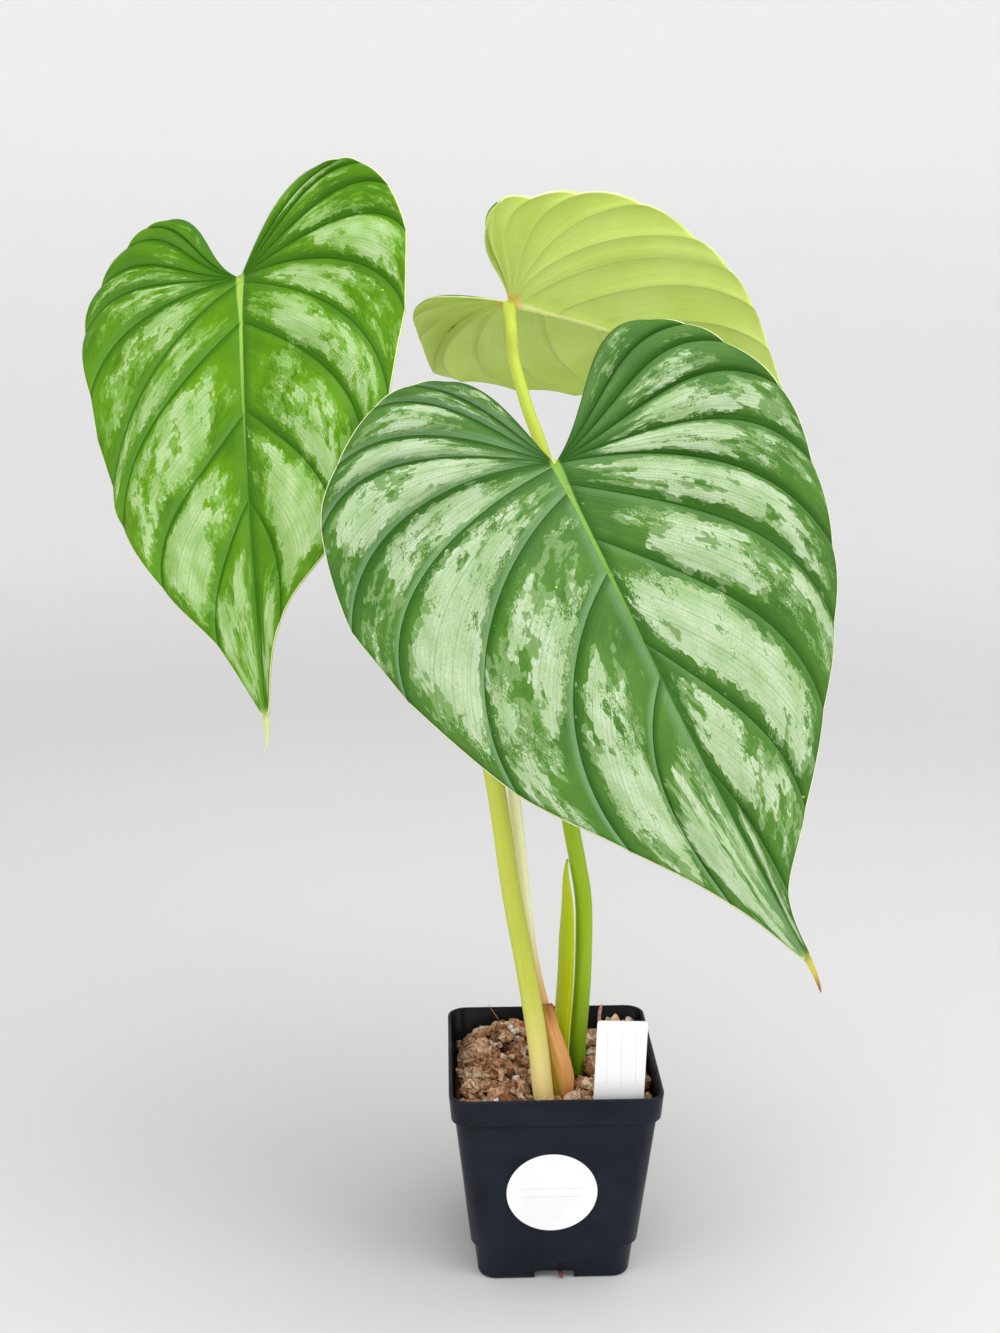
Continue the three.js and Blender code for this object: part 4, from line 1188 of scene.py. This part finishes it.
def add_strand(bm, points, radius, sides=5, flat=1.0, tone=None):
    """A tube along a smooth path, with pointed ends, flattened across by flat."""
    curve, distance = smooth_path(points)
    rows = max(6, len(points) * 3)
    at = np.linspace(0, distance[-1], rows + 1)
    size = radius * np.sqrt(np.clip(1 - (2 * at / distance[-1] - 1) ** 6, 0.02, 1))
    charts = {"tone": np.full((2, rows + 1, sides + 1, 2), tone)} if tone else {}
    add_tube(bm, tube_points(curve, distance, at, size[:, None], sides, flat), charts)


def wander(rng, x, y, lift, length, bend, steps=4):
    """Places along a curling path over the bark bed."""
    heading, turn = rng.uniform(0, 6.28), rng.uniform(-bend, bend)
    z, points = ground(x, y) + lift, []
    for _ in range(steps + 1):
        points.append((x, y, z))
        heading += turn + rng.uniform(-0.4, 0.4)
        x, y = x + length / steps * math.cos(heading), y + length / steps * math.sin(heading)
        z = min(ground(x, y) + 3.8, max(ground(x, y) + 0.3, z + rng.uniform(-1.2, 1.2)))
    return points


def strewn_paths(rng, places, lift, length, bend, wall_room, stem_room):
    """Curling paths from the places given, without those that touch the walls or the stems."""
    for x, y in places:
        points = wander(rng, x, y, rng.uniform(*lift), rng.uniform(*length), bend)
        if all(in_pot(px, py, wall_room) and clear_of_stems(px, py, stem_room) for px, py, _ in points):
            yield points


def make_curls():
    """Curled shreds of husk, thicker than the fibres, on top of the chips."""
    rng = np.random.default_rng(SEEDS["curls"])
    bm = blank("tone")
    for points in strewn_paths(rng, scatter(rng, 330, 3.5, 2.5), (0.8, 3.4), (5, 12), 1.5, 1.5, 1.2):
        tone = (float(rng.uniform(0.2, 1)), float(rng.uniform(0.35, 1)))
        add_strand(bm, points, rng.uniform(0.8, 1.8), 6, rng.uniform(0.35, 0.8), tone)
    close_ends(bm)
    finished(bm, "husk_curls", [BARK])


def make_fibres():
    rng = np.random.default_rng(SEEDS["fibres"])
    bm = bmesh.new()
    for points in strewn_paths(rng, scatter(rng, 190, 4, 1.5), (1.0, 2.6), (4, 12), 0.6, 0.8, 0.4):
        add_strand(bm, points, rng.uniform(0.10, 0.24))
    add_strand(bm, UPRIGHT_FIBRE, 0.16)
    close_ends(bm)
    finished(bm, "coir_fibres", [COIR])


def make_root():
    bm = bmesh.new()
    add_strand(bm, AERIAL_ROOT, 0.8, 8)
    close_ends(bm)
    finished(bm, "aerial_root", [ROOT])


def make_perlite():
    rng = np.random.default_rng(SEEDS["grains"])
    bm = blank("tone")
    pattern = lump_pattern("grain")
    for number, (x, y) in enumerate([*SEEN_GRAINS, *scatter(rng, 16, 4, 2)]):
        size = rng.uniform(2.8, 4.2)
        place = Vector((x, y, ground(x, y) + 2.4))
        turn = Euler(rng.uniform(0, 3, 3))
        add_lump(bm, pattern, (size, size * 0.85, size * 0.8), place, turn, 0.2, number * 2.1)
    finished(bm, "perlite_grains", [PERLITE])


def make_red_husk():
    bm = blank("tone")
    x, y = RED_HUSK_AT
    add_lump(bm, lump_pattern("chip"), (7.5, 2.2, 1.1), Vector((x, y, ground(x, y) + 2.6)),
             Euler((0.2, -1.0, 0.5)), 0.2, 8.0)
    finished(bm, "red_husk", [RED_HUSK])


make_bed()
make_chips()
make_curls()
make_fibres()
make_root()
make_perlite()
make_red_husk()


# Plant label and sticker

def paper_finish(name, whites, shade, grain, piece, axis, ink, rough, strength):
    """White stock with thin ruled lines to write on. A piece's rules are the lines' places on the axis, and
    ruled is their middle on the other one and their reach from it."""
    middle, reach = piece["ruled"]

    def build(nodes):
        place = nodes.place()
        sides = nodes.split(place)
        drawn = 0.0
        for rule in piece["rules"]:
            drawn = drawn + nodes.math("LESS_THAN", abs(sides[axis] - rule * MM), RULE_HALF * MM)
        within = nodes.math("LESS_THAN", abs(sides[2 - axis] - middle * MM), reach * MM)
        drawn = nodes.math("MULTIPLY", drawn, within, clamp=True)
        tone = nodes.mix(drawn * ink, nodes.mottle(place, whites, shade), "8c9094")
        return tone, rough, 0.5, nodes.noise(place, *grain) * 0.03, strength

    return finish(name, build)


def raise_plate(bm, vec, soften, turn):
    """Thickens a flat face, softens its edges and puts it in its place."""
    pulled = bmesh.ops.extrude_face_region(bm, geom=list(bm.faces))["geom"]
    bmesh.ops.translate(bm, vec=vec, verts=verts_of(pulled))
    bmesh.ops.recalc_face_normals(bm, faces=bm.faces)
    sharp = [e for e in bm.edges if e.calc_face_angle() > 1]
    bmesh.ops.bevel(bm, geom=sharp, offset=soften, segments=2, profile=0.5, affect="EDGES", material=-1)
    bmesh.ops.transform(bm, matrix=turn, verts=bm.verts)


def make_label():
    half, corner, thick = LABEL["width"] / 2, LABEL["corner"], LABEL["thick"]
    shoulder = LABEL["point"] - LABEL["length"]
    outline = [(0, -LABEL["length"]), (half, shoulder)]
    for side, start in ((1, 0), (-1, 90)):
        for i in range(7):
            angle = (start + i * 15) * DEG
            x, z = corner * math.cos(angle), corner * (math.sin(angle) - 1)
            outline.append((side * (half - corner) + x, z))
    outline.append((-half, shoulder))
    bm = bmesh.new()
    bm.faces.new([bm.verts.new((x, -thick / 2, z)) for x, z in outline])
    turn = Matrix.Translation((*LABEL["at"], LABEL["top"])) @ Matrix.Rotation(LABEL["lean"] * DEG, 4, "Y")
    raise_plate(bm, (0, thick, 0), 0.12, turn)
    stock = paper_finish("white_label", ("eeeeed", "f3f3f3"), 40.0, (500.0,), LABEL, 0, 0.28, 0.42, 0.4)
    finished(bm, "write_on_label", [stock], ["plant_label"])


def make_sticker():
    low, high = POT["foot_height"] + 0.9, POT["height"] - POT["band"] - 0.6
    taper = (POT["body_top"] - POT["body_foot"]) / 2
    x, z = STICKER["at"]
    wall = POT["body_foot"] / 2 + taper * (z - low) / (high - low)
    bm = bmesh.new()
    bmesh.ops.create_circle(bm, cap_ends=True, segments=96, radius=STICKER["radius"])
    turn = (Matrix.Translation((x, -wall - STICKER["gap"], z))
            @ Matrix.Rotation(math.atan2(taper, high - low), 4, "X") @ Matrix.Rotation(math.pi / 2, 4, "X"))
    raise_plate(bm, (0, 0, STICKER["thick"]), 0.08, turn)
    stock = paper_finish("white_sticker", ("efeff0", "f5f5f5"), 60.0, (700.0, 3.0), STICKER, 2, 0.3, 0.55,
                         0.5)
    finished(bm, "round_sticker", [stock], ["sticker"])


make_label()
make_sticker()
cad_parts["rhizome"].data.materials.clear()
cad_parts["rhizome"].data.materials.append(plain_fibre("rhizome_bark", "4e2418", "7c3c2a"))


# Studio

def studio_finish(nodes):
    place = nodes.place()
    # Painted light: grey near the middle, painted lighter farther out and lighter still up the wall, where
    # the lamps reach less
    paper_and_painted_light = nodes.paint("c8c8c8", (nodes.length(place).rise(0.8, 1.7), "e3e3e3"),
                        (nodes.split(place)[2].rise(0.1, 0.8), "f3f3f2"))
    return paper_and_painted_light, 0.9, 0.1


def make_studio():
    """A wide dish: a floor that curves up into a wall all round, for a plain background on every side."""
    flat, bend, top = [STUDIO[key] for key in ("flat", "bend", "top")]
    profile = [(0, 0), (400, 0), (900, 0), (flat, 0)]
    profile += [(flat + bend * math.sin(angle), bend - bend * math.cos(angle))
                for angle in np.linspace(0.1, math.pi / 2, 14)]
    profile.append((flat + bend, top))
    bm = bmesh.new()
    verts = [bm.verts.new((x, 0, z)) for x, z in profile]
    edges = [bm.edges.new(pair) for pair in zip(verts[:-1], verts[1:])]
    bmesh.ops.spin(bm, geom=verts + edges, cent=(0, 0, 0), axis=(0, 0, 1), angle=2 * math.pi, steps=96,
                   use_merge=True)
    bmesh.ops.remove_doubles(bm, verts=bm.verts, dist=0.01)
    bmesh.ops.recalc_face_normals(bm, faces=bm.faces)
    bmesh.ops.reverse_faces(bm, faces=bm.faces)
    for face in bm.faces:
        face.smooth = True
    dish = object_of(bm, "studio_dish")
    dish.data.materials.append(finish("studio_paper", studio_finish))


make_studio()
for lamp_name, (lamp_at, aim, (wide, tall), power) in LIGHTS.items():
    panel = bpy.data.lights.new(lamp_name, "AREA")
    panel.shape, panel.size, panel.size_y, panel.energy = "RECTANGLE", wide, tall, power
    lamp = in_scene(lamp_name, panel)
    lamp.location = lamp_at
    lamp.rotation_euler = (Vector(aim) - Vector(lamp_at)).to_track_quat("-Z", "Y").to_euler()

world = bpy.data.worlds.new("studio_air")
bpy.context.scene.world = world
world.use_nodes = True
world.node_tree.nodes["Background"].inputs["Color"].default_value = colour(STUDIO["air"])
world.node_tree.nodes["Background"].inputs["Strength"].default_value = STUDIO["air_strength"]

lens = bpy.data.cameras.new("camera")
lens.sensor_fit = "AUTO"
lens.sensor_width = 36
lens.lens = CAMERA["focal"] / CAMERA["long_side"] * lens.sensor_width
camera = in_scene("camera", lens)
camera.location = [c * MM for c in CAMERA["at"]]
camera.rotation_euler = ((90 - CAMERA["pitch"]) * DEG, 0, -CAMERA["yaw"] * DEG)
bpy.context.scene.camera = camera
bpy.context.scene.view_settings.view_transform = "Standard"
